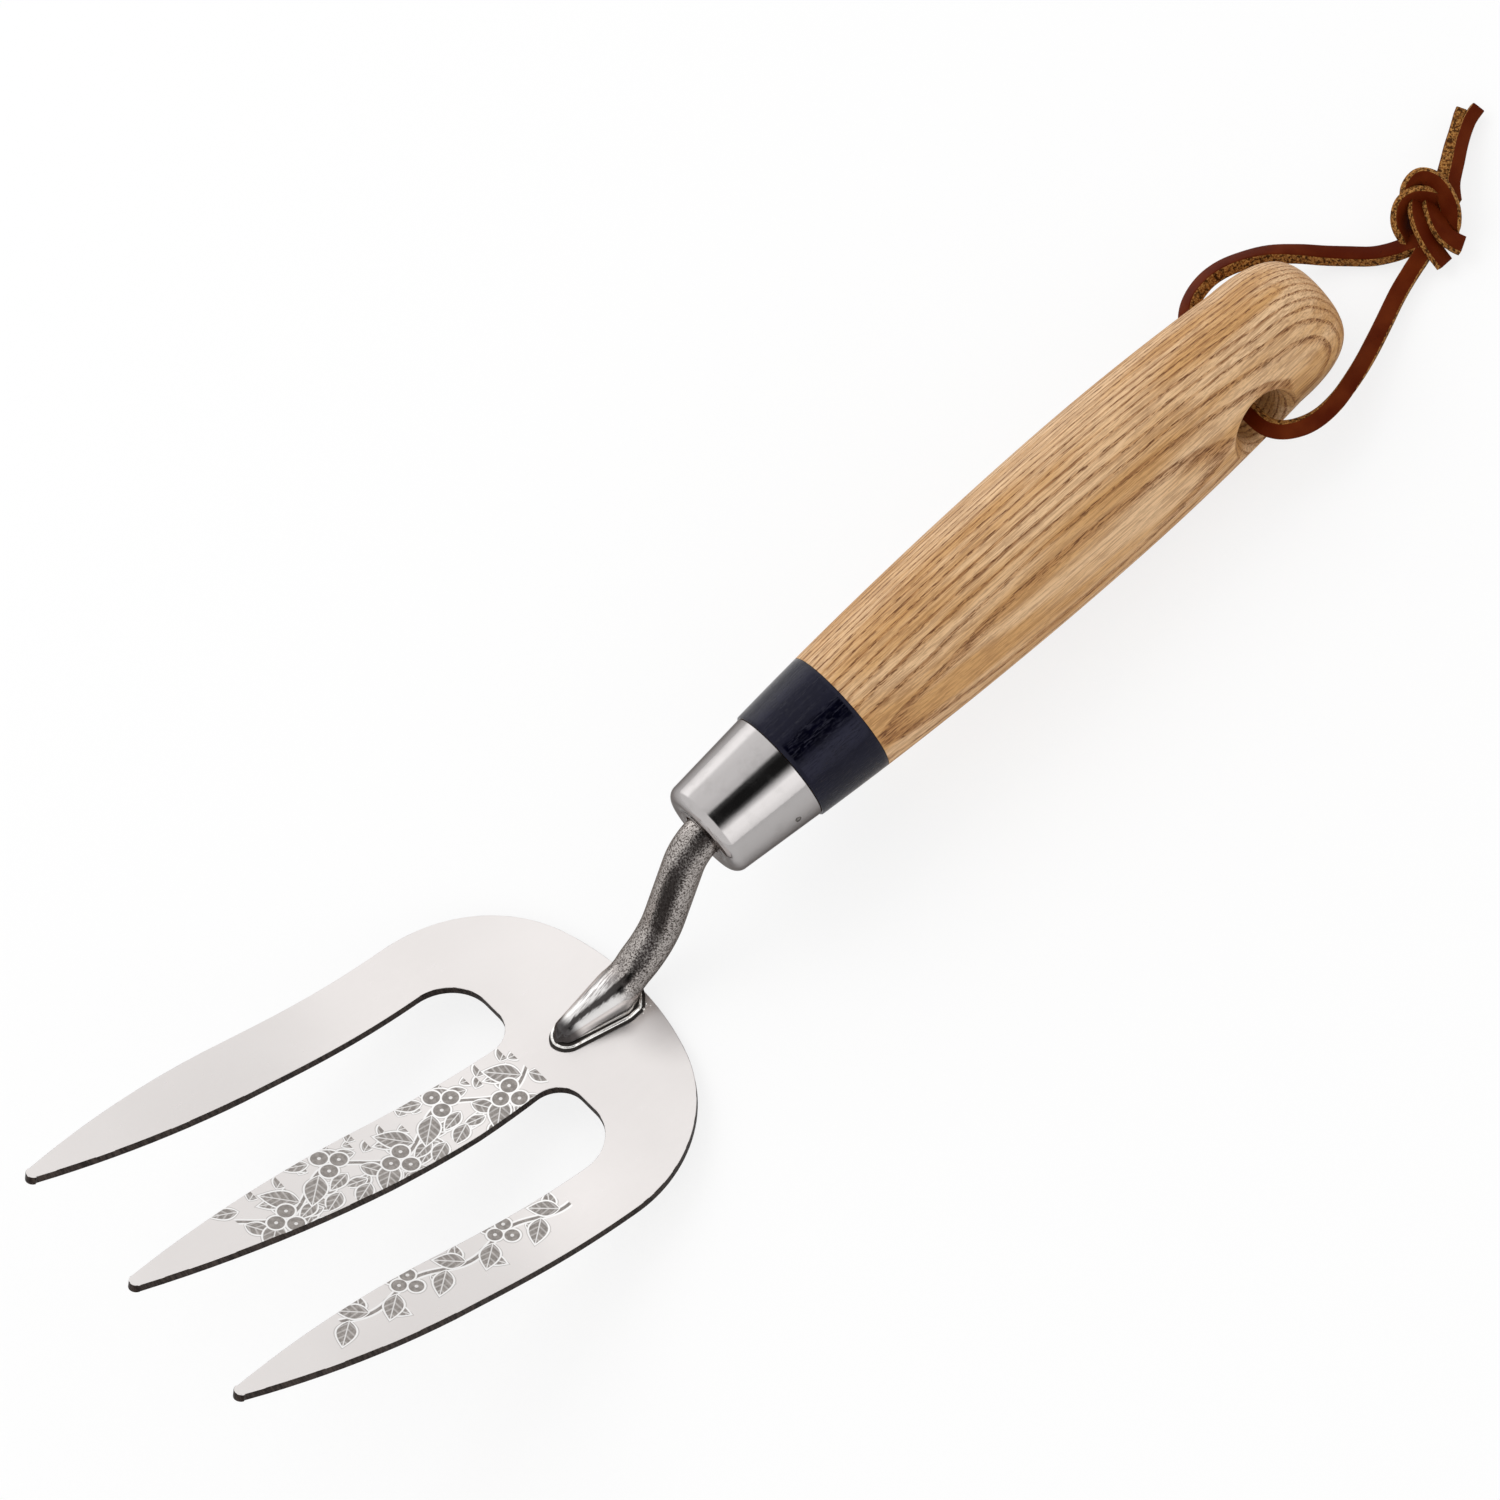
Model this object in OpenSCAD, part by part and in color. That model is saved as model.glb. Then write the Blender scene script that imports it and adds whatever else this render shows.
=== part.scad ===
// Three-tine hand fork with a cranked neck, a ferruled ash handle and a leather lanyard.
// The fork is drawn along its handle, with its origin at the wide rim of the ferrule:
// +X to the butt, +Z to the side that the neck is welded on. fork_pose() then lays it on a flat
// surface, where it rests on the heel of the head and on the butt. Millimetres.

/* [Head] */
// Width over the outer tines
head_w = 80.2; // [74:0.2:88]
// Heel of the head to the tips, along the handle
head_len = 114.8; // [110:0.1:122]
// Heel of the head to the ferrule's rim, along the handle
heel_back = 45.7; // [44:0.1:47]
// Thickness of the sheet
sheet_t = 2; // [1.6:0.1:2.4]
// Radius of the back edge
heel_r = 65; // [58:1:80]
// Radius of the two shoulders
shoulder_r = 30; // [24:1:32]
// Width of an outer tine where it is straight
outer_tine_w = 13.7; // [12:0.1:16]
// Width of the middle tine where it is straight
middle_tine_w = 15; // [13:0.1:17]
// Heel to the closed end of each slot
slot_back = 23.8; // [21:0.1:27]
// Rise of the base plate toward the tines, in degrees
base_rise = 9; // [7:0.1:11]
// Rise of the straight tines, in degrees
tine_rise = 25.8; // [22:0.2:29]
// Where the bend starts and ends, from the ferrule's rim
bend_from = 70; // [66:1:74]
bend_to = 106; // [98:1:114]
// Drop of the plate's upper face below the handle's axis, 50 mm in front of the ferrule's rim
plate_drop = 25.6; // [24.5:0.1:27]

/* [Neck] */
// Diameter of the rod
rod_d = 8.2; // [7:0.1:9]
// Angle of the crank below the handle's axis, in degrees
crank_angle = 52; // [48:1:56]
// Bend radius beside the ferrule
crank_r1 = 10.5; // [9:0.5:11]
// Bend radius over the heel
crank_r2 = 20; // [16:1:22]
// Length of the tang inside the handle
tang_len = 50; // [40:1:60]
// Width of the foot at its heel and at its nose
foot_w = 9.4; // [8.6:0.1:11]
foot_nose_w = 5.2; // [4.6:0.1:7]
// Width of the weld around the foot
weld_w = 1.2; // [0.8:0.1:1.6]

/* [Ferrule] */
// Radius at the rim and at the small end
ferrule_r = 12; // [11.5:0.1:12.2]
ferrule_end_r = 10.2; // [9.6:0.1:10.6]
// Length along the handle
ferrule_len = 20.4; // [19:0.1:21]
// Wall of the ferrule
ferrule_wall = 0.9; // [0.7:0.1:1.2]
// Rounding of the small end
ferrule_round = 2.5; // [2:0.1:3]
// Brad that holds the ferrule to the wood
brad_d = 1.4; // [1:0.1:2]

/* [Handle] */
// Length of wood behind the ferrule
grip_len = 140.6; // [138:0.2:150]
// Radius at the thickest place and its distance from the rim
grip_r = 15.65; // [15:0.05:16.5]
grip_peak = 78; // [74:1:82]
// Radius of the long curves before and behind the thickest place
front_curve = 936; // [900:1:1000]
rear_curve = 530; // [500:1:560]
// Length and thickness of the painted band
paint_len = 16; // [12:0.1:22]
paint_t = 0.25; // [0.2:0.05:0.3]

/* [Lanyard] */
// Diameter of the lanyard hole and of its bevelled mouths
hole_d = 12; // [10:0.1:13]
mouth_d = 16.8; // [14:0.1:17.5]
// Centre of the hole from the rim
hole_x = 115; // [113:0.5:117]
// Width of the leather lace
lace_w = 3.4; // [3:0.1:3.8]

/* [Hidden] */
$fn = 96;

steel = [0.86, 0.86, 0.87];
rod_steel = [0.62, 0.61, 0.60];
bright_steel = [0.80, 0.80, 0.82];
ash_wood = [0.80, 0.62, 0.40];
navy = [0.04, 0.05, 0.12];
tan_leather = [0.38, 0.16, 0.07];

// --- plan of the head, y to one side of the middle line ---
half_w = head_w / 2;
heel_x = -heel_back;
tip_x = heel_x - head_len;
shoulder_x = heel_x - heel_r + sqrt(pow(heel_r - shoulder_r, 2) - pow(half_w - shoulder_r, 2));
shoulder_a = atan2(half_w - shoulder_r, shoulder_x - (heel_x - heel_r));
inner_y = half_w - outer_tine_w;
mid_y = middle_tine_w / 2;
taper_x = tip_x + 46.3;       // the outer tines taper from here to the tips
mid_taper_x = tip_x + 56.3;   // the middle tine starts earlier
taper_arc = 45;               // reach of the curved edges of an outer and of the middle tine
mid_taper_arc = 55;
outer_taper_r = 170;
inner_taper_r = 200;
mid_taper_r = 252;
tip_r = 1.5;
tip_shift = 0.5;              // an outer tine's tip lies this far inside its middle line
slot_x = heel_x - slot_back;
slot_in_r = 6;
slot_out_r = 9.4;
waist_y = mid_y - 0.6;
slot_side_y = inner_y + 0.1;

// --- side of the head ---
foot_ref = 50;                // the foot and the plate's drop are measured this far in front of the rim
bend_run = bend_to - bend_from;
base_slope = tan(base_rise);
tine_slope = tan(tine_rise);

// Height and slope of the plate's upper face, u in front of the rim
function plate_z(u) =
    let (v = min(max(u - bend_from, 0), bend_run), w = max(u - bend_to, 0))
    -plate_drop + base_slope * (u - foot_ref)
    + (tine_slope - base_slope) * (v * v / (2 * bend_run) + w);
function plate_slope(u) =
    base_slope
    + (tine_slope - base_slope) * min(max(u - bend_from, 0), bend_run) / bend_run;

// --- side of the grip ---
shoulder_cut = 124;           // the butt's rounding starts here
butt_start = 1.5;             // how far it goes on along the grip before it turns
butt_edge_r = 14.4;
butt_flat_r = 5;
butt_curve = [
    [shoulder_cut, grip_radius(shoulder_cut)],
    [shoulder_cut + butt_start, grip_radius(shoulder_cut + butt_start)],
    [grip_len, butt_edge_r],
    [grip_len, butt_flat_r]
];
butt_side = [for (i = [0 : 14]) bezier(butt_curve, i / 14)];

// --- rest pose: the heel's lower edge and the underside of the butt touch the surface ---
heel_z = plate_z(heel_back) - sheet_t / cos(base_rise);
tilt = min([for (p = butt_side) atan((-p[1] - heel_z) / (p[0] - heel_x))]);
lift = sin(tilt) * heel_x - cos(tilt) * heel_z;
tip_end_x = cos(tilt) * tip_x + sin(tilt) * plate_z(-tip_x);
butt_end_x = cos(tilt) * grip_len + sin(tilt) * butt_flat_r;
shift = -(tip_end_x + butt_end_x) / 2;

// --- inside of the ferrule and of the grip ---
wall_in_r = ferrule_r - ferrule_wall;
end_in_r = ferrule_end_r - ferrule_wall;
tang_r = rod_d / 2;

function grip_radius(x) =
    grip_r - pow(x - grip_peak, 2) / (2 * (x < grip_peak ? front_curve : rear_curve));
function bezier(p, t) =
    pow(1 - t, 3) * p[0] + 3 * t * pow(1 - t, 2) * p[1]
    + 3 * t * t * (1 - t) * p[2] + pow(t, 3) * p[3];
function arc(centre, r, from, to, steps) = [
    for (i = [0 : steps])
        let (a = from + (to - from) * i / steps)
        centre + r * [cos(a), sin(a)]
];

// --- neck, as angles and lengths of its straight and bent stretches ---
crank_start = -ferrule_len + 2.3;
foot_lift = 3.4;              // axis of the foot above the plate
tang_point = 12;              // tapered end of the tang, and the radius of its point
point_r = 1.5;
crank_end = [crank_start - crank_r1 * sin(crank_angle), -crank_r1 * (1 - cos(crank_angle))];
foot_axis_z = -plate_drop + foot_lift / cos(base_rise);   // height of the foot's axis at x = -foot_ref
// the crank's line meets the foot's line at this corner
crank_slope = tan(crank_angle);
corner_x =
    (foot_axis_z - foot_ref * base_slope - crank_end[1] + crank_slope * crank_end[0])
    / (crank_slope + base_slope);
corner = [corner_x, foot_axis_z - base_slope * (corner_x + foot_ref)];
turn = crank_angle + base_rise;
tangent = crank_r2 * tan(turn / 2);
crank_run = norm(corner - crank_end) - tangent;
foot_start = corner - tangent * [cos(base_rise), -sin(base_rise)];
nose_x = -65.1;
nose_u = (-foot_ref - nose_x) / cos(base_rise);   // along the plate, from foot_ref
foot_start_u = (-foot_ref - foot_start[0]) / cos(base_rise);
foot_nose_h = 3.6;            // height of the nose
foot_heel_u = -1.2;           // the foot's square heel, and its width
foot_heel_w = 8.4;
foot_wide_u = 3;              // where the foot is widest, and where it starts to narrow
foot_narrow_u = 8;
foot_narrow_r = 0.44 * foot_w;
foot_pad = 0.5;               // the foot is drawn this far into the plate, then trimmed level
nose_round = 1.6;
nose_r = foot_nose_w / 2;
foot_skirt = 1;               // height of the straight wall at the foot's base

// --- brad, through the ferrule's side into the wood ---
brad_x = -5;
brad_in = 6;                  // its point, from the handle's axis
brad_out = ferrule_r + (ferrule_r - ferrule_end_r) * brad_x / ferrule_len;

// --- lanyard, in the rest pose: a loop from the knot through the hole and back ---
lace_route = [
    [171.8, -2.8, 3.9], [169.7, -1.4, 3.4], [166.8, 0.6, 2.7], [163.8, 3.2, 2.3],
    [160.8, 6.6, 2.4], [157.5, 10, 3.4], [153.9, 13.3, 5.4], [149.5, 16.2, 8],
    [144.2, 18, 10.8], [139.6, 18.7, 12.7], [135.2, 18.3, 14], [131, 16.8, 14.6],
    [127.8, 14, 14.6], [125.6, 10, 14.6], [124.2, 5, 14.6], [123.6, 0, 14.6],
    [123.1, -5, 14.6], [122.7, -10, 14.5], [122.8, -14.2, 14.2], [124.6, -17.1, 13.4],
    [128, -18.8, 12.1], [132.2, -19.1, 10.5], [137.1, -18.1, 8.8], [142.2, -16.2, 7.1],
    [148.6, -13.4, 5.3], [155.5, -9.9, 3.6], [161.9, -6.9, 2.6], [166.8, -5.4, 2.6],
    [169.7, -4.9, 3.1], [171.9, -4.4, 3.7]
];
knot_at = [177.1, 0, 5];
// two ends side by side, each a little thinner than the lace
tail_route = [
    [179.5, -0.4, 5.4], [182.5, 2.7, 5.6], [188, 6.8, 4.4], [193, 10.2, 3], [197.2, 12.8, 2.1]
];
tail_gap = [1.9, -1.9, 0.2];
tail_w = 2.6;

module fork_pose() {
    translate([shift, 0, lift]) rotate([0, tilt, 0]) children();
}

// Lays a revolved profile of [radius, x] points along the handle
module turned(profile) {
    rotate([0, 90, 0]) rotate_extrude() polygon(profile);
}

// One half of the plan, from the middle of the heel to the middle tine's tip
half_plan = concat(
    arc([heel_x - heel_r, 0], heel_r, 0, shoulder_a, 14),
    arc([shoulder_x, half_w - shoulder_r], shoulder_r, shoulder_a + 2, 90, 26),
    arc([taper_x, half_w - outer_taper_r], outer_taper_r, 90, 90 + asin(taper_arc / outer_taper_r), 12),
    arc([tip_x + tip_r, (half_w + inner_y) / 2 - tip_shift], tip_r, 105, 255, 8),
    arc([taper_x, inner_y + inner_taper_r], inner_taper_r, 270 - asin(taper_arc / inner_taper_r), 270, 12),
    arc([slot_x - slot_out_r, slot_side_y - slot_out_r], slot_out_r, 90, 0, 20),
    arc([slot_x - slot_in_r, waist_y + slot_in_r], slot_in_r, 0, -90, 18),
    [[slot_x - 20, waist_y + 0.5]],
    arc([mid_taper_x, mid_y - mid_taper_r], mid_taper_r, 90, 90 + asin(mid_taper_arc / mid_taper_r), 12),
    arc([tip_x + tip_r, 0], tip_r, 102, 180, 5)
);
bend_steps = [for (i = [1 : 10]) bend_from + bend_run * i / 10];
side_u = concat([heel_back - 1, bend_from], bend_steps, [-tip_x + 1]);

// Flat plan cut from a strip that is bent along its length
module head() {
    other_half = [for (i = [len(half_plan) - 2 : -1 : 1]) [half_plan[i][0], -half_plan[i][1]]];
    top = [for (u = side_u) [-u, plate_z(u)]];
    under = [for (u = side_u) [-u, plate_z(u) - sheet_t * sqrt(1 + pow(plate_slope(u), 2))]];
    color(steel) fork_pose() intersection() {
        translate([0, 0, -60]) linear_extrude(120)
            polygon(concat(half_plan, other_half));
        rotate([90, 0, 0]) translate([0, 0, -half_w - 5]) linear_extrude(head_w + 10)
            polygon(concat(top, [for (i = [len(under) - 1 : -1 : 0]) under[i]]));
    }
}

// Places children at the foot's base, with x to the nose and z out of the plate
module on_plate() {
    translate([-foot_ref, 0, -plate_drop]) rotate([0, base_rise, 0]) mirror([1, 0, 0]) children();
}

// Outline of the foot on the plate, grown by edge
module foot_plan(edge) {
    hull() {
        translate([foot_heel_u - edge, -foot_heel_w / 2 - edge / 2]) square([2, foot_heel_w + edge]);
        translate([foot_wide_u, 0]) circle(foot_w / 2 + edge, $fn = 32);
        translate([foot_narrow_u, 0]) circle(foot_narrow_r + edge, $fn = 32);
        translate([nose_u - nose_r, 0]) circle(nose_r + edge, $fn = 32);
    }
}

// Centre line of the rod in the x-z plane, from the tang's point to the foot
foot_bend = foot_start + crank_r2 * [sin(base_rise), cos(base_rise)];
rod_path = concat(
    [[tang_len, 0], [tang_len - tang_point, 0]],
    arc([crank_start, -crank_r1], crank_r1, 90, 90 + crank_angle, 9),
    arc(foot_bend, crank_r2, turn - 90 - base_rise, -90 - base_rise, 12),
    [foot_start + foot_pad * [-cos(base_rise), sin(base_rise)]]
);
rod_radii = [for (i = [1 : len(rod_path)]) i == 1 ? point_r : tang_r];

// Bent rod: tang in the wood, crank, and a foot pressed flat and pointed where it is welded down
module neck() {
    color(rod_steel) fork_pose() difference() {
        union() {
            tube([for (p = rod_path) [p[0], 0, p[1]]], rod_radii, 32);
            on_plate() hull() {
                translate([0, 0, -foot_pad]) linear_extrude(foot_skirt + foot_pad) foot_plan(0);
                translate([foot_start_u - 0.5, 0, foot_lift]) rotate([0, 90, 0])
                    cylinder(h = 2, r = tang_r + 0.05, $fn = 32);
                translate([nose_u - nose_r, 0, foot_nose_h - nose_round]) sphere(nose_round, $fn = 32);
            }
        }
        // trims the foot level with the plate
        on_plate() translate([-20, -10, -10]) cube([60, 20, 10]);
    }
}

// Fillet of weld all round the foot
module weld_bead() {
    color(rod_steel) fork_pose() on_plate() difference() {
        hull() {
            linear_extrude(0.1) foot_plan(weld_w);
            linear_extrude(foot_skirt) foot_plan(0.1);
        }
        translate([0, 0, -1]) linear_extrude(foot_skirt + 2) foot_plan(0);
    }
}

// Drawn steel cup, tapered, closed at the small end but for the rod
module ferrule() {
    hole_r = tang_r + 0.5;
    end_x = -ferrule_len;
    slope_r = ferrule_end_r + (ferrule_r - ferrule_end_r) * ferrule_round / ferrule_len;
    color(bright_steel) fork_pose() turned(concat(
        [[hole_r, end_x]],
        arc([slope_r - ferrule_round, end_x + ferrule_round], ferrule_round, -90, 0, 10),
        [[ferrule_r, 0], [wall_in_r, 0], [end_in_r, end_x + ferrule_wall], [hole_r, end_x + ferrule_wall]]
    ));
}

// Small nail through the ferrule into the wood, on the side
module ferrule_brad() {
    color(rod_steel) fork_pose() translate([brad_x, -brad_in, 0]) rotate([90, 0, 0])
        cylinder(h = brad_out - brad_in, d = brad_d, $fn = 24);
}

// Turned ash grip with a spigot for the ferrule, a bore for the tang and the lanyard hole
module handle() {
    spigot_x = -ferrule_len + ferrule_wall;
    spigot = [[0, spigot_x], [end_in_r, spigot_x], [wall_in_r, 0]];
    paint_step = [for (i = [0 : 4]) let (x = paint_len * i / 4) [grip_radius(x) - paint_t, x]];
    grip_step = (shoulder_cut - paint_len) / 24;
    grip = [for (i = [0 : 23]) let (x = paint_len + grip_step * i) [grip_radius(x), x]];
    butt = [for (p = butt_side) [p[1], p[0]]];
    bore = [
        [0, spigot_x - 1], [tang_r, spigot_x - 1], [tang_r, tang_len - tang_point],
        [point_r, tang_len], [0, tang_len]
    ];
    mouth_depth = (mouth_d - hole_d) / 2;
    color(ash_wood) fork_pose() difference() {
        turned(concat(spigot, paint_step, grip, butt, [[0, grip_len]]));
        turned(bore);
        // relief where the rod starts its bend
        translate([spigot_x - 0.01, 0, 0]) rotate([0, 90, 0]) cylinder(h = 2.5, r = tang_r + 0.5);
        translate([brad_x, -brad_in, 0]) rotate([90, 0, 0]) cylinder(h = 10, d = brad_d, $fn = 24);
        translate([hole_x, 0, 0]) rotate([90, 0, 0]) cylinder(h = 40, d = hole_d, center = true);
        for (side = [-1, 1])
            translate([hole_x, side * grip_radius(hole_x), 0]) rotate([side * -90, 0, 0])
                translate([0, 0, -mouth_depth])
                    cylinder(h = mouth_depth + 2, d1 = hole_d, d2 = mouth_d + 4);
    }
}

// Coat of dark lacquer over the front of the grip
module painted_band() {
    outer = [for (i = [0 : 4]) let (x = paint_len * i / 4) [grip_radius(x), x]];
    color(navy) fork_pose() turned(concat(outer, [for (i = [4 : -1 : 0]) outer[i] - [paint_t, 0]]));
}

// --- tube swept along a route ---
function unit(v) = v / norm(v);
// Catmull-Rom point between p1 and p2
function spline(p0, p1, p2, p3, t) =
    0.5 * (2 * p1 + (p2 - p0) * t
    + (2 * p0 - 5 * p1 + 4 * p2 - p3) * t * t
    + (3 * p1 - p0 - 3 * p2 + p3) * t * t * t);
function smooth(route, steps) = let (n = len(route) - 1) concat(
    [for (i = [0 : n - 1]) for (k = [0 : steps - 1])
        spline(route[max(i - 1, 0)], route[i], route[i + 1], route[min(i + 2, n)], k / steps)],
    [route[n]]);
function ring(at, along, r, sides) =
    let (side = unit(cross(along, [0, 0.3, 1])), up = cross(side, along))
    [for (k = [0 : sides - 1]) let (a = 360 * (k + 0.5) / sides) at + r * (cos(a) * side + sin(a) * up)];

module tube(path, r, sides = 8) {
    n = len(path) - 1;
    rings = [
        for (i = [0 : n])
            let (along = unit(path[min(i + 1, n)] - path[max(i - 1, 0)]))
            ring(path[i], along, is_list(r) ? r[i] : r, sides)
    ];
    points = [for (one = rings) each one];
    walls = [
        for (i = [0 : n - 1]) for (k = [0 : sides - 1])
            let (a = i * sides, b = (i + 1) * sides, m = (k + 1) % sides)
            each [[a + k, b + m, b + k], [a + k, a + m, b + m]]
    ];
    start = [for (k = [1 : sides - 2]) [0, k + 1, k]];
    finish = [for (k = [1 : sides - 2]) [n * sides, n * sides + k, n * sides + k + 1]];
    polyhedron(points, concat(walls, start, finish));
}

// Leather lace from the knot round through the hole and back to the knot
module lanyard_lace() {
    color(tan_leather) tube(smooth(lace_route, 2), lace_w / 2);
}

// Outer form of the overhand knot, as [offset, radius] of its four bulges
knot_bulges = [
    [[-1.6, 2.2, -0.6], 4], [[4, 1.6, 0.2], 4.4], [[-3.6, -6.4, -2], 2.6], [[1.5, -5.5, -1.2], 3.2]
];
module lanyard_knot() {
    color(tan_leather) hull() for (bulge = knot_bulges)
        translate(knot_at + bulge[0]) sphere(bulge[1], $fn = 20);
}

// The lace's two ends, which stand out of the knot side by side
module lanyard_tails() {
    color(tan_leather) for (side = [0, 1])
        tube(smooth([for (p = tail_route) p + side * tail_gap], 2), tail_w / 2);
}

head();
neck();
weld_bead();
ferrule();
ferrule_brad();
handle();
painted_band();
lanyard_lace();
lanyard_knot();
lanyard_tails();
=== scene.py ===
import math
import bmesh
import bpy
from mathutils import Matrix, Vector, noise


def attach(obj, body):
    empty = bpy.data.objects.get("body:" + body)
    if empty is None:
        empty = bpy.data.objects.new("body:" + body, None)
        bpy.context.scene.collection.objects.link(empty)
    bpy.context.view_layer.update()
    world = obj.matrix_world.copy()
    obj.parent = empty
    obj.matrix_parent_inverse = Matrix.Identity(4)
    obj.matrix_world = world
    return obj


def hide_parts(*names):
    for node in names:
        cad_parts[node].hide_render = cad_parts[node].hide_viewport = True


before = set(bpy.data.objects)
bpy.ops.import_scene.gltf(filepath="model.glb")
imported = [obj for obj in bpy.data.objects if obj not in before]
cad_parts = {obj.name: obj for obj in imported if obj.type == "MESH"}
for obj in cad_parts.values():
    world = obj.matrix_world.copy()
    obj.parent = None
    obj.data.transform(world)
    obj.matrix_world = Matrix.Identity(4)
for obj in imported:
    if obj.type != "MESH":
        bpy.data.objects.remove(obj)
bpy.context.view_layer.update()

mm = 0.001

# how the fork lies: its own frame has +X along the handle from the ferrule's rim, +Z on the welded side
rest = dict(tilt=4.86547, shift=9.0462, lift=24.3279)
layDown = (Matrix.Translation((rest["shift"] * mm, 0, rest["lift"] * mm))
           @ Matrix.Rotation(math.radians(rest["tilt"]), 4, "Y"))
standUp = layDown.inverted()


def deselect():
    if bpy.context.object and bpy.context.object.mode != "OBJECT":
        bpy.ops.object.mode_set(mode="OBJECT")
    bpy.ops.object.select_all(action="DESELECT")


def pick(obj):
    deselect()
    obj.select_set(True)
    bpy.context.view_layer.objects.active = obj
    return obj


def editing(obj):
    pick(obj)
    bpy.ops.object.mode_set(mode="EDIT")
    bpy.ops.mesh.select_all(action="DESELECT")


def selectAll():
    bpy.ops.mesh.select_all(action="SELECT")


def grabFaces(obj, test):
    # selects the faces that pass the test, in edit mode
    mesh = bmesh.from_edit_mesh(obj.data)
    bpy.context.tool_settings.mesh_select_mode = (False, False, True)
    mesh.select_mode = {"FACE"}
    for face in mesh.faces:
        face.select = test(face)
    mesh.select_flush_mode()
    bmesh.update_edit_mesh(obj.data)


def useModifier(obj, kind, **settings):
    pick(obj)
    modifier = obj.modifiers.new(kind.lower(), kind)
    for key, value in settings.items():
        setattr(modifier, key, value)
    bpy.ops.object.modifier_apply(modifier=modifier.name)


def shadeSmooth(obj, angle):
    pick(obj)
    bpy.ops.object.shade_smooth_by_angle(angle=math.radians(angle))


def tidyNormals(obj, angle):
    editing(obj)
    selectAll()
    bpy.ops.mesh.remove_doubles(threshold=0.002 * mm)
    bpy.ops.mesh.normals_make_consistent(inside=False)
    shadeSmooth(obj, angle)


def joinRings(mesh, rings, closed):
    # faces between each ring of points and the next
    count = len(rings[0])
    for a, b in zip(rings, rings[1:] + rings[:1] if closed else rings[1:]):
        for k in range(count):
            n = (k + 1) % count
            mesh.faces.new((a[k], a[n], b[n], b[k]))


def meshObject(name, mesh):
    # a new object from mesh code, its faces turned outwards
    bmesh.ops.recalc_face_normals(mesh, faces=mesh.faces[:])
    data = bpy.data.meshes.new(name)
    mesh.to_mesh(data)
    mesh.free()
    obj = bpy.data.objects.new(name, data)
    bpy.context.collection.objects.link(obj)
    return obj


def startRing(name, x, radius, sides, filled):
    # a circle round the fork's own axis, in mm, left in edit mode with its edges selected
    deselect()
    bpy.ops.mesh.primitive_circle_add(vertices=sides, radius=radius * mm, location=(x * mm, 0, 0),
                                      rotation=(0, math.pi / 2, 0), fill_type="NGON" if filled else "NOTHING")
    obj = bpy.context.object
    obj.name = name
    bpy.ops.object.transform_apply(location=True, rotation=True, scale=True)
    editing(obj)
    bpy.context.tool_settings.mesh_select_mode = (False, True, False)
    selectAll()
    return obj


def pull(x, z=0.0):
    bpy.ops.mesh.extrude_edges_move(TRANSFORM_OT_translate={"value": (x * mm, 0, z * mm)})


def turnProfile(name, profile, sides, closed=False):
    # pulls a ring through a list of (x, radius) stations in mm, along the fork's own axis
    (lastX, lastR), others = profile[0], profile[1:]
    obj = startRing(name, lastX, lastR, sides, filled=not closed)
    for x, r in others:
        pull(x - lastX)
        bpy.ops.transform.resize(value=(1, r / lastR, r / lastR), center_override=(x * mm, 0, 0))
        lastX, lastR = x, r
    if not closed:
        bpy.ops.mesh.edge_face_add()
    bpy.ops.object.mode_set(mode="OBJECT")
    return obj


def arcStations(centreX, centreR, radius, fromAngle, toAngle, steps):
    # stations along a round, the angle measured from the +X side
    angles = [math.radians(fromAngle + (toAngle - fromAngle) * i / steps) for i in range(steps + 1)]
    return [(centreX + radius * math.cos(a), centreR + radius * math.sin(a)) for a in angles]


def smoothPath(points, steps):
    # Catmull-Rom line through the points
    vectors = [Vector(p) for p in points]
    last = len(vectors) - 1
    line = []
    for i in range(last):
        a, b, c, d = vectors[max(i - 1, 0)], vectors[i], vectors[i + 1], vectors[min(i + 2, last)]
        for k in range(steps):
            t = k / steps
            line.append(0.5 * (2 * b + (c - a) * t + (2 * a - 5 * b + 4 * c - d) * t * t
                               + (3 * b - a - 3 * c + d) * t ** 3))
    return line + [vectors[last]]


def placed(obj, name, body, material, nodes=()):
    obj.name = name
    obj.data.name = name
    if material:
        obj.data.materials.clear()
        obj.data.materials.append(material)
    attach(obj, body)
    if nodes:
        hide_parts(*nodes)
    return obj


def forkPiece(obj, name, material, nodes=(), angle=None):
    # the last steps of a rigid piece: clean faces, then from the fork's own frame to how it lies
    if angle:
        tidyNormals(obj, angle)
    obj.data.transform(layDown)
    obj.data.update()
    return placed(obj, name, "fork", material, nodes)


def shareOf(value, low, high):
    return min(max((value - low) / (high - low), 0), 1)


def blendIn(value, low, high):
    t = shareOf(value, low, high)
    return t * t * (3 - 2 * t)


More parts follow.
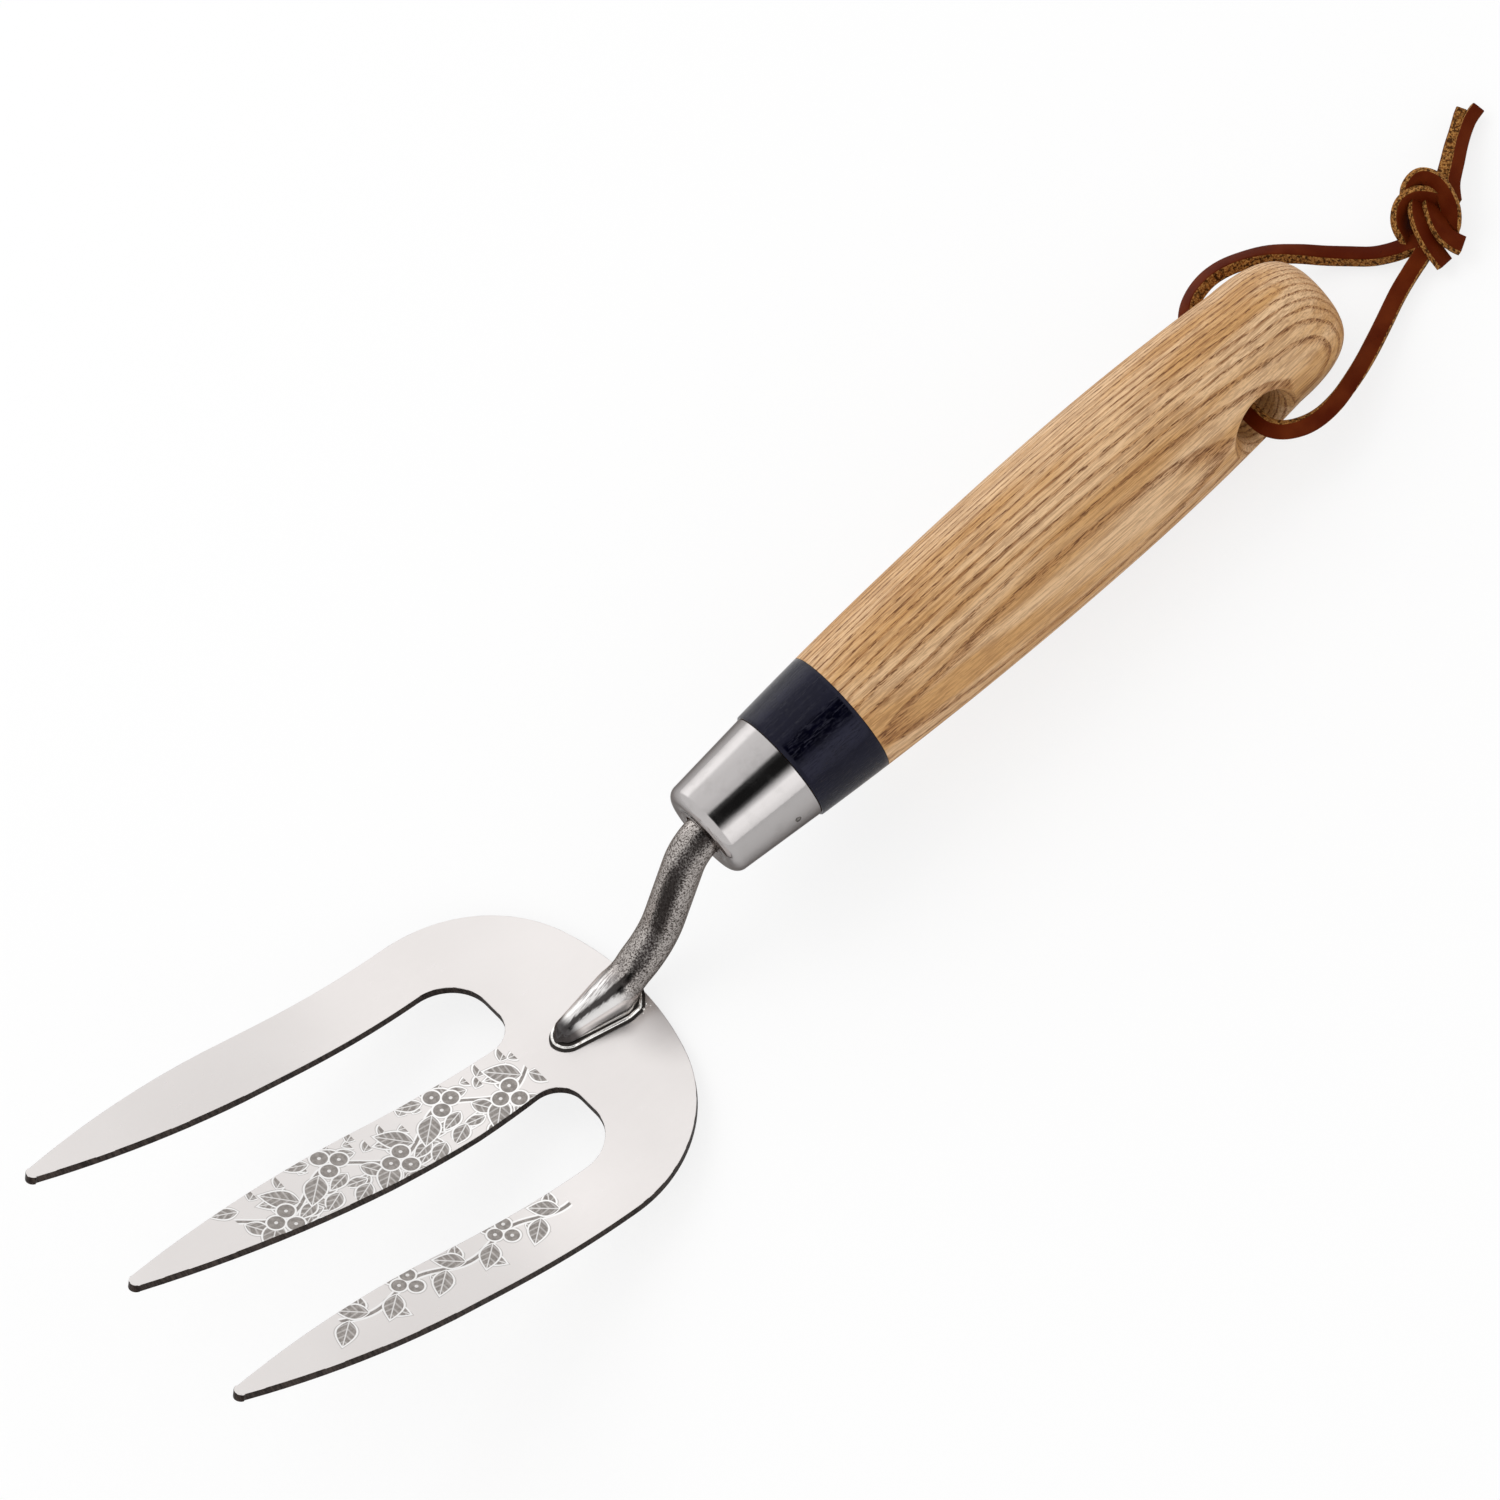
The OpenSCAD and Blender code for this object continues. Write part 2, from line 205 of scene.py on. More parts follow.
class Num:
    # one value in a node tree; arithmetic on it adds Math nodes
    def __init__(self, graph, socket):
        self.graph = graph
        self.socket = socket

    def calc(self, operation, *others):
        inputs = {i: v for i, v in enumerate((self,) + others)}
        return Num(self.graph, self.graph.node("ShaderNodeMath", {"operation": operation}, inputs).outputs[0])

    def __add__(self, other):
        return self.calc("ADD", other)

    def __sub__(self, other):
        return self.calc("SUBTRACT", other)

    def __mul__(self, other):
        return self.calc("MULTIPLY", other)

    def __truediv__(self, other):
        return self.calc("DIVIDE", other)

    def __rsub__(self, other):
        return self * -1 + other

    def __rtruediv__(self, other):
        return self.calc("POWER", -1) * other

    def __pow__(self, other):
        return self.calc("POWER", other)

    def __neg__(self):
        return self * -1

    __radd__ = __add__
    __rmul__ = __mul__

    def ease(self, low, high):
        # 0 below low, 1 above high, smooth between; low may be the larger one
        start, end, flip = (low, high, False) if low < high else (high, low, True)
        node = self.graph.node("ShaderNodeMapRange", {"interpolation_type": "SMOOTHSTEP"},
                               {0: self, 1: start, 2: end, 3: 1.0 if flip else 0.0, 4: 0.0 if flip else 1.0})
        return Num(self.graph, node.outputs[0])

    def sin(self):
        return self.calc("SINE")

    def size(self):
        return self.calc("ABSOLUTE")

    def most(self, other):
        return self.calc("MAXIMUM", other)

    def least(self, other):
        return self.calc("MINIMUM", other)


class Finish:
    # a material and its node tree
    def __init__(self, name):
        self.material = bpy.data.materials.new(name)
        self.material.use_nodes = True
        self.tree = self.material.node_tree
        self.shader = self.tree.nodes["Principled BSDF"]

    def node(self, kind, settings=None, inputs=None):
        made = self.tree.nodes.new(kind)
        for key, value in (settings or {}).items():
            if key == "stops":
                ramp = made.color_ramp
                while len(ramp.elements) < len(value):
                    ramp.elements.new(0.5)
                for element, (position, colour) in zip(ramp.elements, value):
                    element.position = position
                    element.color = (*colour, 1)
            else:
                setattr(made, key, value)
        for key, value in (inputs or {}).items():
            self.plug(made.inputs[key], value)
        return made

    def plug(self, socket, value):
        if isinstance(value, Num):
            self.tree.links.new(value.socket, socket)
        elif isinstance(value, bpy.types.NodeSocket):
            self.tree.links.new(value, socket)
        elif socket.type == "RGBA" and len(value) == 3:
            socket.default_value = (*value, 1)
        else:
            socket.default_value = value

    def put(self, **sockets):
        # links the values that vary and sets the fixed ones on the shader's own sockets
        for key, value in sockets.items():
            self.plug(self.shader.inputs[key.replace("_", " ")], value)
        return self.material

    def num(self, socket):
        return Num(self, socket)

    def objectCoords(self):
        return self.node("ShaderNodeTexCoord").outputs["Object"]

    def forkCoords(self):
        # object coordinates turned into the fork's own frame
        turned = self.node("ShaderNodeMapping", {"vector_type": "TEXTURE"}, {
            "Vector": self.objectCoords(), "Location": (rest["shift"] * mm, 0, rest["lift"] * mm),
            "Rotation": (0, math.radians(rest["tilt"]), 0)})
        return turned.outputs[0]

    def xyz(self, coords):
        parts = self.node("ShaderNodeSeparateXYZ", None, {0: coords})
        return [self.num(parts.outputs[i]) for i in range(3)]

    def noise(self, coords, scale, detail=2.0, roughness=0.5, drawn=None):
        # drawn is its scale along each axis, below 1 where it is drawn out
        if drawn:
            coords = self.node("ShaderNodeMapping", None, {"Vector": coords, "Scale": drawn}).outputs[0]
        made = self.node("ShaderNodeTexNoise", None, {"Vector": coords, "Scale": scale, "Detail": detail,
                                                      "Roughness": roughness})
        return self.num(made.outputs[0])

    def mix(self, factor, a, b):
        return self.node("ShaderNodeMix", {"data_type": "RGBA"}, {0: factor, 6: a, 7: b}).outputs[2]

    def ramp(self, value, stops):
        return self.node("ShaderNodeValToRGB", {"stops": stops}, {0: value}).outputs[0]

    def bump(self, height, distance, strength):
        # distance in mm
        inputs = {"Height": height, "Distance": distance * mm, "Strength": strength}
        return self.node("ShaderNodeBump", None, inputs).outputs[0]

    def dot(self, a, b):
        made = self.node("ShaderNodeVectorMath", {"operation": "DOT_PRODUCT"}, {0: a, 1: b})
        return self.num(made.outputs["Value"])


def speckledMetal(name, metal):
    # a plain metal with one fine pattern in its colour, gloss and relief
    look = Finish(name)
    fine = look.noise(look.forkCoords(), metal["scale"], 3, metal["harsh"], metal.get("drawn"))
    spots = fine.ease(*metal["span"]) if "span" in metal else fine
    swing = metal.get("swing", 0)
    return look.put(Base_Color=look.mix(spots, metal["colour"], metal["spots"]), Metallic=metal.get("metallic", 1.0),
                    Roughness=(fine - 0.5) * swing + metal["roughness"] if swing else metal["roughness"],
                    Specular_IOR_Level=metal.get("gloss", 0.5), Normal=look.bump(fine, *metal["relief"]))


class Group(Finish):
    # a node group of plain values, used like one node
    def __init__(self, name, takes):
        self.tree = bpy.data.node_groups.new(name, "ShaderNodeTree")
        for label in takes:
            self.tree.interface.new_socket(label, in_out="INPUT", socket_type="NodeSocketFloat")
        self.inlet = self.tree.nodes.new("NodeGroupInput")
        self.takes = takes

    def taken(self):
        return [self.num(self.inlet.outputs[label]) for label in self.takes]

    def give(self, **values):
        outlet = self.tree.nodes.new("NodeGroupOutput")
        for label, value in values.items():
            self.tree.interface.new_socket(label, in_out="OUTPUT", socket_type="NodeSocketFloat")
            self.plug(outlet.inputs[label], value)

    def used(self, look, values):
        made = look.node("ShaderNodeGroup", {"node_tree": self.tree}, dict(zip(self.takes, values)))
        return [look.num(out) for out in made.outputs]


cameraPlace = dict(location=(-0.15271, -0.98275, 1.75871), turn=(25.1304, 17.0134, -41.1353), lens=249.6, sensor=36,
                   nearest=0.05, furthest=50)


def makeCamera():
    data = bpy.data.cameras.new("camera")
    data.lens = cameraPlace["lens"]
    data.sensor_width = cameraPlace["sensor"]
    data.clip_start = cameraPlace["nearest"]
    data.clip_end = cameraPlace["furthest"]
    camera = bpy.data.objects.new("camera", data)
    camera.location = cameraPlace["location"]
    camera.rotation_euler = [math.radians(a) for a in cameraPlace["turn"]]
    bpy.context.collection.objects.link(camera)
    bpy.context.scene.camera = camera
    return camera.rotation_euler.to_matrix()


cameraTurn = makeCamera()
print("camera placed")


# the lace, in mm; a facing is (point of the route, then right, up and toward the viewer) for its grain side
lace = dict(width=3.4, thick=2.7, diameter=3.4, corner=0.45, steps=6, seed=0.3, rough=0.05,
            facings=[(0, 0, 0.45, 0.88), (4, 0, 0.55, 0.83), (8, -0.4, 0.7, 0.6), (11, -0.75, 0.35, 0.55),
                     (15, -0.3, -0.4, 0.8), (19, -0.05, -0.35, 0.93), (21, 0.05, -0.15, 0.98),
                     (24, -0.13, 0.08, 0.98), (29, -0.18, 0.12, 0.97)],
            route=[(171.8, -2.8, 3.9), (169.7, -1.4, 3.4), (166.8, 0.6, 2.7), (163.8, 3.2, 2.3), (160.8, 6.6, 2.4),
                   (157.5, 10, 3.4), (153.9, 13.3, 5.4), (149.5, 16.2, 8), (144.2, 18, 10.8), (139.6, 18.7, 12.7),
                   (135.2, 18.3, 14), (131, 16.8, 14.6), (127.8, 14, 14.6), (125.6, 10, 14.6), (124.2, 5, 14.6),
                   (123.6, 0, 14.6), (123.1, -5, 14.6), (122.7, -10, 14.5), (122.8, -14.2, 14.2), (124.6, -17.1, 13.4),
                   (128, -18.8, 12.1), (132.2, -19.1, 10.5), (137.1, -18.1, 8.8), (142.2, -16.2, 7.1),
                   (148.6, -13.4, 5.3), (155.5, -9.9, 3.6), (161.9, -6.9, 2.6), (166.8, -5.4, 2.6), (169.7, -4.9, 3.1),
                   (171.9, -4.4, 3.7)])


def strapSection(strap):
    # rounded rectangle as (across, out of the grain face, 1 on a cut side)
    width, thick, corner = strap["width"], strap["thick"], strap["corner"]
    points = []
    w, t = width / 2 - corner, thick / 2 - corner
    for cx, cy, start, middle in ((w, t, 0, (0, thick / 2, 0.0)), (-w, t, 90, (-width / 2, 0, 1.0)),
                                  (-w, -t, 180, (0, -thick / 2, 0.0)), (w, -t, 270, (width / 2, 0, 1.0))):
        for k in range(4):
            a = math.radians(start + 30 * k)
            cut = 1.0 if abs(math.cos(a)) > 0.6 else 0.0
            points.append((cx + corner * math.cos(a), cy + corner * math.sin(a), cut))
        points.append(middle)
    return points


def sweepStrap(name, points, facings, strap, seed):
    # a strap along the points, its grain side turned to the facings, all in metres and world directions
    line, faces = smoothPath(points, strap["steps"]), smoothPath(facings, strap["steps"])
    section = strapSection(strap)
    mesh = bmesh.new()
    cutLayer = mesh.verts.layers.float.new("cutSide")
    rings, along = [], 0.0
    for i, at in enumerate(line):
        behind = line[max(i - 1, 0)]
        ahead = (line[min(i + 1, len(line) - 1)] - behind).normalized()
        out = (faces[i] - faces[i].dot(ahead) * ahead).normalized()
        side = out.cross(ahead)
        along += (at - behind).length
        ring = []
        for x, y, cut in section:
            wobble = 1 + strap["rough"] * noise.noise(Vector((along * 160, x * 0.6 + seed, y * 0.6 - seed)))
            vert = mesh.verts.new(at + (side * x + out * y) * mm * wobble)
            vert[cutLayer] = cut
            ring.append(vert)
        rings.append(ring)
    joinRings(mesh, rings, closed=False)
    # the cut ends, each a narrower ring and a lid
    for ring in (rings[0], rings[-1]):
        centre = sum((v.co for v in ring), Vector()) / len(ring)
        cap = [mesh.verts.new(centre + (v.co - centre) * 0.6) for v in ring]
        for vert in cap:
            vert[cutLayer] = 1.0
        joinRings(mesh, [ring, cap], closed=False)
        mesh.faces.new(cap)
    obj = meshObject(name, mesh)
    shadeSmooth(obj, 50)
    return obj, line


leather = dict(grain=(0.072, 0.0072, 0.001), grainLight=(0.125, 0.021, 0.004), grainDark=(0.02, 0.002, 0.001),
               cut=(0.19, 0.065, 0.013), cutLight=(0.48, 0.24, 0.07), cutDark=(0.03, 0.008, 0.002),
               gloss=0.05, glossTint=(1, 0.6, 0.45))


def leatherFinish():
    look = Finish("laceLeather")
    coords = look.objectCoords()
    cutSide = look.num(look.node("ShaderNodeAttribute", {"attribute_name": "cutSide"}).outputs["Fac"])
    broad = look.noise(coords, 120, 3)
    fine = look.noise(coords, 1400, 3, 0.6)
    fibres = look.noise(coords, 2600, 4, 0.7)
    grain = look.mix(broad.ease(0.3, 0.75), leather["grain"], leather["grainLight"])
    grain = look.mix(fine.ease(0.62, 0.8) * 0.6, grain, leather["grainDark"])
    cut = look.mix(fibres.ease(0.42, 0.6), leather["cut"], leather["cutLight"])
    cut = look.mix(fine.ease(0.47, 0.6) * 0.9, cut, leather["cutDark"])
    edge = (cutSide + (fine - 0.5) * 0.5).ease(0.42, 0.62)
    relief = fine * (edge * 0.8 + 0.25) + fibres * edge * 0.5 + broad * 0.3
    return look.put(Base_Color=look.mix(edge, grain, cut), Roughness=edge * 0.3 + 0.42 + (fine - 0.5) * 0.2,
                    Normal=look.bump(relief, 0.2, 0.7), Specular_IOR_Level=leather["gloss"],
                    Specular_Tint=leather["glossTint"])


laceLeather = leatherFinish()


def viewDirection(right, up, toward):
    return (cameraTurn @ Vector((right, up, toward))).normalized()


def makeLace():
    points = [Vector(p) * mm for p in lace["route"]]
    turns = [(point, viewDirection(*way)) for point, *way in lace["facings"]]
    facings = []
    for i in range(len(points)):
        since, before = [t for t in turns if t[0] <= i][-1]
        until, after = [t for t in turns if t[0] >= i][0]
        facings.append(before.lerp(after, (i - since) / max(until - since, 1)))
    obj, line = sweepStrap("lanyardLace", points, facings, lace, lace["seed"])
    return placed(obj, "lanyardLace", "lanyard", laceLeather, ["lanyard_lace"]), line


laceObject, laceLine = makeLace()

# the knot's straps, in mm right, up and toward the viewer from its middle
knot = dict(centre=(176.6, -0.2, 5), width=3.8, thick=1.9, corner=0.45, steps=7, rough=0.08)
knotStraps = dict(
    wrapOver=dict(
        points=[(-3.4, 2.4, 0.2), (-3.3, 5.2, 1.2), (-1.6, 7.2, 2), (1, 6.7, 2.6), (3, 4.4, 2.9), (4.3, 1.4, 2.8),
                (4.5, -1.8, 2), (3.6, -4.4, 0.4), (1, -4.6, -1.2), (-2, -3.4, -2), (-4.2, -0.6, -1.8),
                (-3.9, 2.4, -0.6)],
        facings=[(0.3, -0.3, 0.9), (0.4, -0.4, 0.8), (0.2, -0.5, 0.85), (-0.2, -0.5, 0.85), (-0.4, -0.4, 0.85),
                 (-0.5, -0.1, 0.87), (-0.4, 0.2, 0.9), (0.5, -0.4, 0.2), (0.1, -0.8, -0.6), (-0.4, -0.3, -0.85),
                 (-0.8, 0, -0.5), (-0.8, 0.3, 0.2)]),
    wrapLeft=dict(
        points=[(2.6, 2.6, 0.9), (0.2, 3.6, 1.8), (-2.6, 3.7, 2), (-4.9, 2, 1.6), (-5.6, -0.9, 0.9), (-4.6, -3.6, 0),
                (-2, -5.2, -0.8), (1.2, -4.4, -1.6), (3.6, -1.6, -2), (3.8, 1.6, -1.4)],
        facings=[(0, -0.6, 0.8), (0, -0.7, 0.75), (0.2, -0.7, 0.75), (0.6, -0.3, 0.75), (0.7, 0.1, 0.7),
                 (0.5, 0.5, 0.75), (0, -0.3, 0.95), (0.3, -0.6, -0.7), (0.7, -0.2, -0.7), (0.8, 0.3, -0.4)]),
    endLeft=dict(
        points=[(-1.4, 3.4, 0), (-2.1, 1.4, 1.7), (-1.7, -1.4, 2.9), (-0.4, -4.4, 3.1), (1.2, -7, 2.7),
                (3.2, -9.7, 2.2)],
        facings=[(0.5, 0.4, 0.8), (0.5, 0.1, 0.85), (0.5, 0.1, 0.85), (0.45, 0.25, 0.87), (0.4, 0.3, 0.87),
                 (0.4, 0.3, 0.87)]),
    endRight=dict(
        points=[(0.4, 3, 0), (0.9, 0.8, 1.9), (1.8, -1.7, 3), (3.2, -4.1, 3.4), (4.9, -5.4, 3.3), (6.6, -6.2, 3.1)],
        facings=[(0.5, 0.3, 0.8), (0.5, 0.2, 0.85), (0.45, 0.25, 0.85), (0.35, 0.4, 0.85), (0.25, 0.4, 0.87),
                 (0.25, 0.4, 0.87)]))
# the two ends beyond it, in mm of the frame
tails = dict(
    tailLeft=dict(
        width=2.9, thick=2.2, corner=0.35, rough=0.1,
        points=[(180.2, -0.6, 5.2), (182.4, 2.3, 5.6), (187, 5.6, 5), (191, 8.7, 3.8), (194.6, 11.4, 2.8),
                (196.9, 13, 2.2)],
        facings=[(-0.9, 0.3, 0.1), (-0.9, 0.3, 0), (-0.9, 0.3, -0.1), (-0.9, 0.3, -0.1), (-0.9, 0.3, -0.1),
                 (-0.9, 0.3, 0)]),
    tailRight=dict(
        width=2.7, thick=2.3, corner=0.35, rough=0.1,
        points=[(182, -2.4, 5.4), (184.5, 0.6, 5.6), (188.5, 4, 4.8), (192.4, 7.2, 3.7), (196.4, 9.8, 2.7),
                (199.6, 11, 2)],
        facings=[(0.2, 0.2, 0.9), (0.2, 0.1, 0.95), (0.2, 0, 0.95), (0.15, 0, 0.95), (0.1, 0, 0.97), (0.1, 0, 0.97)]))


def makeKnot():
    centre = Vector(knot["centre"]) * mm
    parts = []
    for straps, node, seed, pace in ((knotStraps, "lanyard_knot", 0.0, 3.7), (tails, "lanyard_tails", 9.1, 2.3)):
        for number, (name, strap) in enumerate(straps.items()):
            points = [Vector(p) * mm for p in strap["points"]]
            if straps is knotStraps:
                points = [centre + cameraTurn @ p for p in points]
            facings = [viewDirection(*f) for f in strap["facings"]]
            piece, _ = sweepStrap(name, points, facings, {**knot, **strap}, seed + number * pace)
            parts.append(placed(piece, name, "lanyard", laceLeather, [node]))
    return parts


knotParts = makeKnot()
laceLength = sum((b - a).length for a, b in zip(laceLine, laceLine[1:]))
print("lanyard tied,", round(laceLength, 3), "m of lace in the loop")


# the head, in mm in front of the ferrule's rim
head = dict(thick=2.0, drop=25.6, weldAt=50, baseRise=9, tineRise=25.8, bendFrom=66, bendTo=110, ease=0.7, edge=0.28,
            cuts=[50, 55, 60, 115, 120, 125, 135, 145, 155], etchFrom=72, sideEtchFrom=84, middleHalf=10)


def plateHeight(u):
    # height of the sheet's upper face
    baseSlope, tineSlope = (math.tan(math.radians(head[rise])) for rise in ("baseRise", "tineRise"))
    run = head["bendTo"] - head["bendFrom"]
    past = max(u - head["bendTo"], 0)
    t = shareOf(u, head["bendFrom"], head["bendTo"])
    # even turn over the run, eased a little at both of its ends
    turned = run * (0.5 * t ** 2 + head["ease"] * (t ** 3 - 0.5 * t ** 4 - 0.5 * t ** 2))
    return -head["drop"] + baseSlope * (u - head["weldAt"]) + (tineSlope - baseSlope) * (turned + past)


def makeHead(materials):
    # the blank is the outline of the frame's own head, laid flat, cut into strips, bent and given its thickness
    obj = bpy.data.objects.new("headPlate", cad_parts["head"].data.copy())
    bpy.context.collection.objects.link(obj)
    obj.data.transform(standUp)
    editing(obj)
    selectAll()
    bpy.ops.mesh.remove_doubles(threshold=0.005 * mm)
    grabFaces(obj, lambda f: f.normal.z < 0.6)
    bpy.ops.mesh.delete(type="FACE")
    selectAll()
    bpy.ops.transform.resize(value=(1, 1, 0), center_override=(0, 0, 0))
    bpy.ops.mesh.dissolve_limited(angle_limit=math.radians(1), use_dissolve_boundaries=False)
    for u in list(range(head["bendFrom"], head["bendTo"] + 1)) + head["cuts"]:
        selectAll()
        bpy.ops.mesh.bisect(plane_co=(-u * mm, 0, 0), plane_no=(1, 0, 0))
    mesh = bmesh.from_edit_mesh(obj.data)
    for vert in mesh.verts:
        vert.co.z = plateHeight(-vert.co.x / mm) * mm
    bmesh.update_edit_mesh(obj.data)
    selectAll()
    bpy.ops.mesh.normals_make_consistent(inside=False)
    mesh = bmesh.from_edit_mesh(obj.data)
    if sum(f.normal.z for f in mesh.faces) < 0:
        bpy.ops.mesh.flip_normals()
    obj.data.materials.clear()
    for one in materials:
        obj.data.materials.append(one)
    useModifier(obj, "SOLIDIFY", thickness=head["thick"] * mm, offset=-1, use_even_offset=True, material_offset_rim=1)
    useModifier(obj, "BEVEL", width=head["edge"] * mm, segments=3, limit_method="ANGLE", angle_limit=math.radians(50),
                harden_normals=False)
    shadeSmooth(obj, 35)
    useModifier(obj, "WEIGHTED_NORMAL", weight=90, keep_sharp=True)
    # the etched sides of the middle tine and of one outer tine
    for face in obj.data.polygons:
        u, v = -face.center.x / mm, face.center.y / mm
        if face.material_index == 0 and face.normal.z > 0.5 and u > head["etchFrom"]:
            face.material_index = 2 if abs(v) < head["middleHalf"] else 3 if v < 0 and u > head["sideEtchFrom"] else 0
    return forkPiece(obj, "headPlate", None, ["head"])


blade = dict(light=(0.83, 0.795, 0.78), deep=(0.76, 0.725, 0.71), edgeTint=(0.75, 0.72, 0.7),
             haze=(0.36, 0.33, 0.325), hazeAt=(-46.5, -11.5), hazeReach=(11, 1), hazeRagged=6,
             etch=(0.20, 0.18, 0.165), etchGrit=(0.33, 0.30, 0.28), etchPale=(0.97, 0.965, 0.96),
             etchLine=(0.42, 0.40, 0.385),
             # the plate's cut side walls: their near-black colour is a painted dark reflection, their lighter speckle
             # the rough cut
             cutEdgeDarkReflection=dict(colour=(0.02, 0.014, 0.012), spots=(0.085, 0.064, 0.055), drawn=(1, 1, 0.1), scale=1800,
                          harsh=0.6, span=(0.3, 0.75), roughness=0.42, swing=0.2, relief=(0.03, 0.6)))

# the etched scrolls, in mm: u from the ferrule's rim toward the tips, v across; a row is (kind, first u, pitch, count,
# distance from the wave, lean in degrees, length, width)
scrolls = dict(
    middle=dict(centre=0.0, reach=(73, 137), swing=3.0, period=25, phase=60.0, stem=0.36, rows=[
        ("leaf", 77.0, 6.3, 9, 3.4, 150, 4.2, 2.0), ("leaf", 79.5, 6.3, 9, -3.6, -30, 4.2, 2.0),
        ("leaf", 79.5, 12.5, 5, 1.0, 118, 5.2, 2.7), ("leaf", 73.5, 12.5, 6, -1.0, -122, 5.4, 2.8),
        ("leaf", 74.5, 5.2, 11, 5.0, 195, 4.4, 2.1), ("leaf", 75.5, 5.2, 11, -5.0, 10, 4.4, 2.1),
        ("leaf", 76.0, 5.6, 11, 6.4, 150, 5.2, 2.9), ("leaf", 78.5, 5.6, 10, -6.4, -30, 5.2, 2.9),
        ("leaf", 76.5, 8.4, 8, 3.0, 22, 5.0, 2.4), ("leaf", 80.5, 8.4, 7, -3.0, -20, 5.0, 2.4),
        ("leaf", 75.0, 12.5, 5, 0.5, 48, 7.4, 3.9), ("leaf", 81.0, 12.5, 5, -0.5, -46, 7.4, 3.9),
        ("berries", 78.5, 25, 3, -2.3, 20, 1.6, 0), ("berries", 91.0, 25, 2, 2.6, -160, 1.6, 0)]),
    near=dict(centre=-29.9, reach=(86, 136), swing=1.3, period=21, phase=93.0, stem=0.34, rows=[
        ("leaf", 90.0, 10.5, 5, 0.9, 120, 4.4, 2.4), ("leaf", 95.5, 10.5, 4, -0.9, -120, 4.4, 2.4),
        ("leaf", 88.5, 10.5, 5, 0.4, 40, 5.8, 3.3), ("leaf", 92.5, 10.5, 5, -0.4, -44, 6.2, 3.4),
        ("berries", 99.0, 21, 2, -1.9, 20, 1.4, 0)]))


def leafShape(along, across, cosLean, sinLean, long, wide):
    # how far outside the leaf's outline, and its midrib and veins
    up = along * cosLean + across * sinLean
    side = (across * cosLean - along * sinLean).size()
    share = (up / long).most(-0.2).least(1.2)
    outside = side - share * (1 - share) * (1.3 - share * 0.6) * (wide * 2)
    veins = ((up - side * 0.9) / 0.24).sin().ease(0.35, 0.85) * 0.45
    return outside, side.ease(0.17, 0.07).most(veins)


def berryShape(along, across, cosLean, sinLean, long, wide):
    # three berries in a bunch, each with a pale eye
    nearest = None
    for a, b in ((0, 0), (2.1, 0.75), (0.6, 2.2)):
        dx = along - (cosLean * a - sinLean * b) * long
        dy = across - (sinLean * a + cosLean * b) * long
        far = (dx * dx + dy * dy) ** 0.5
        nearest = far if nearest is None else nearest.least(far)
    return nearest - long, nearest.ease(0.42, 0.3)


def motifRow(name, shape):
    # one row of motifs along a wave, laid over the grey, pale and dark shares drawn so far
    group = Group(name, ["u", "v", "first", "pitch", "count", "away", "cosLean", "sinLean", "long", "wide", "turns",
                         "phase", "swing", "centre", "grey", "pale", "line"])
    (u, v, first, pitch, count, away, cosLean, sinLean, long, wide, turns, phase, swing, centre,
     grey, pale, line) = group.taken()
    cell = ((u - first) / pitch + 0.25).calc("FLOOR")
    at = cell * pitch + first
    there = cell.ease(-0.7, -0.3) * (count - cell).ease(0.3, 0.7)
    across = v - ((at - phase) * turns).sin() * swing - centre - away
    outside, marks = shape(u - at, across, cosLean, sinLean, long, wide)
    inside = outside.ease(0.06, -0.06) * there
    grown = outside.ease(0.42, 0.3) * there
    rim = outside.ease(0.62, 0.5) * there
    group.give(grey=(grey * (1 - grown)).most(inside * (1 - marks * 0.8)),
               pale=(pale * (1 - grown)).most(grown * (1 - inside)).most(inside * marks * 0.8),
               line=(line * (1 - grown)).most((rim - grown) * 0.6))
    return group


motifs = dict(leaf=motifRow("leafRow", leafShape), berries=motifRow("berryRow", berryShape))


def etchedScroll(look, scroll, u, v):
    # grey, pale and dark shares of a running leaf scroll
    turns, phase, swing, centre = 2 * math.pi / scroll["period"], scroll["phase"], scroll["swing"], scroll["centre"]
    (start, end), half = scroll["reach"], scroll["stem"]
    stem = (v - ((u - phase) * turns).sin() * swing - centre).size()
    span = u.ease(start, start + 0.3) * u.ease(end, end - 0.3)
    grey = stem.ease(half + 0.08, half - 0.08) * span
    pale = (stem - half - 0.25).size().ease(0.25, 0.15) * span
    line = 0.0
    for kind, first, pitch, count, away, lean, long, wide in scroll["rows"]:
        c, s = math.cos(math.radians(lean)), math.sin(math.radians(lean))
        grey, pale, line = motifs[kind].used(look, [u, v, first, pitch, count, away, c, s, long, wide,
                                                    turns, phase, swing, centre, grey, pale, line])
    return grey, pale, line


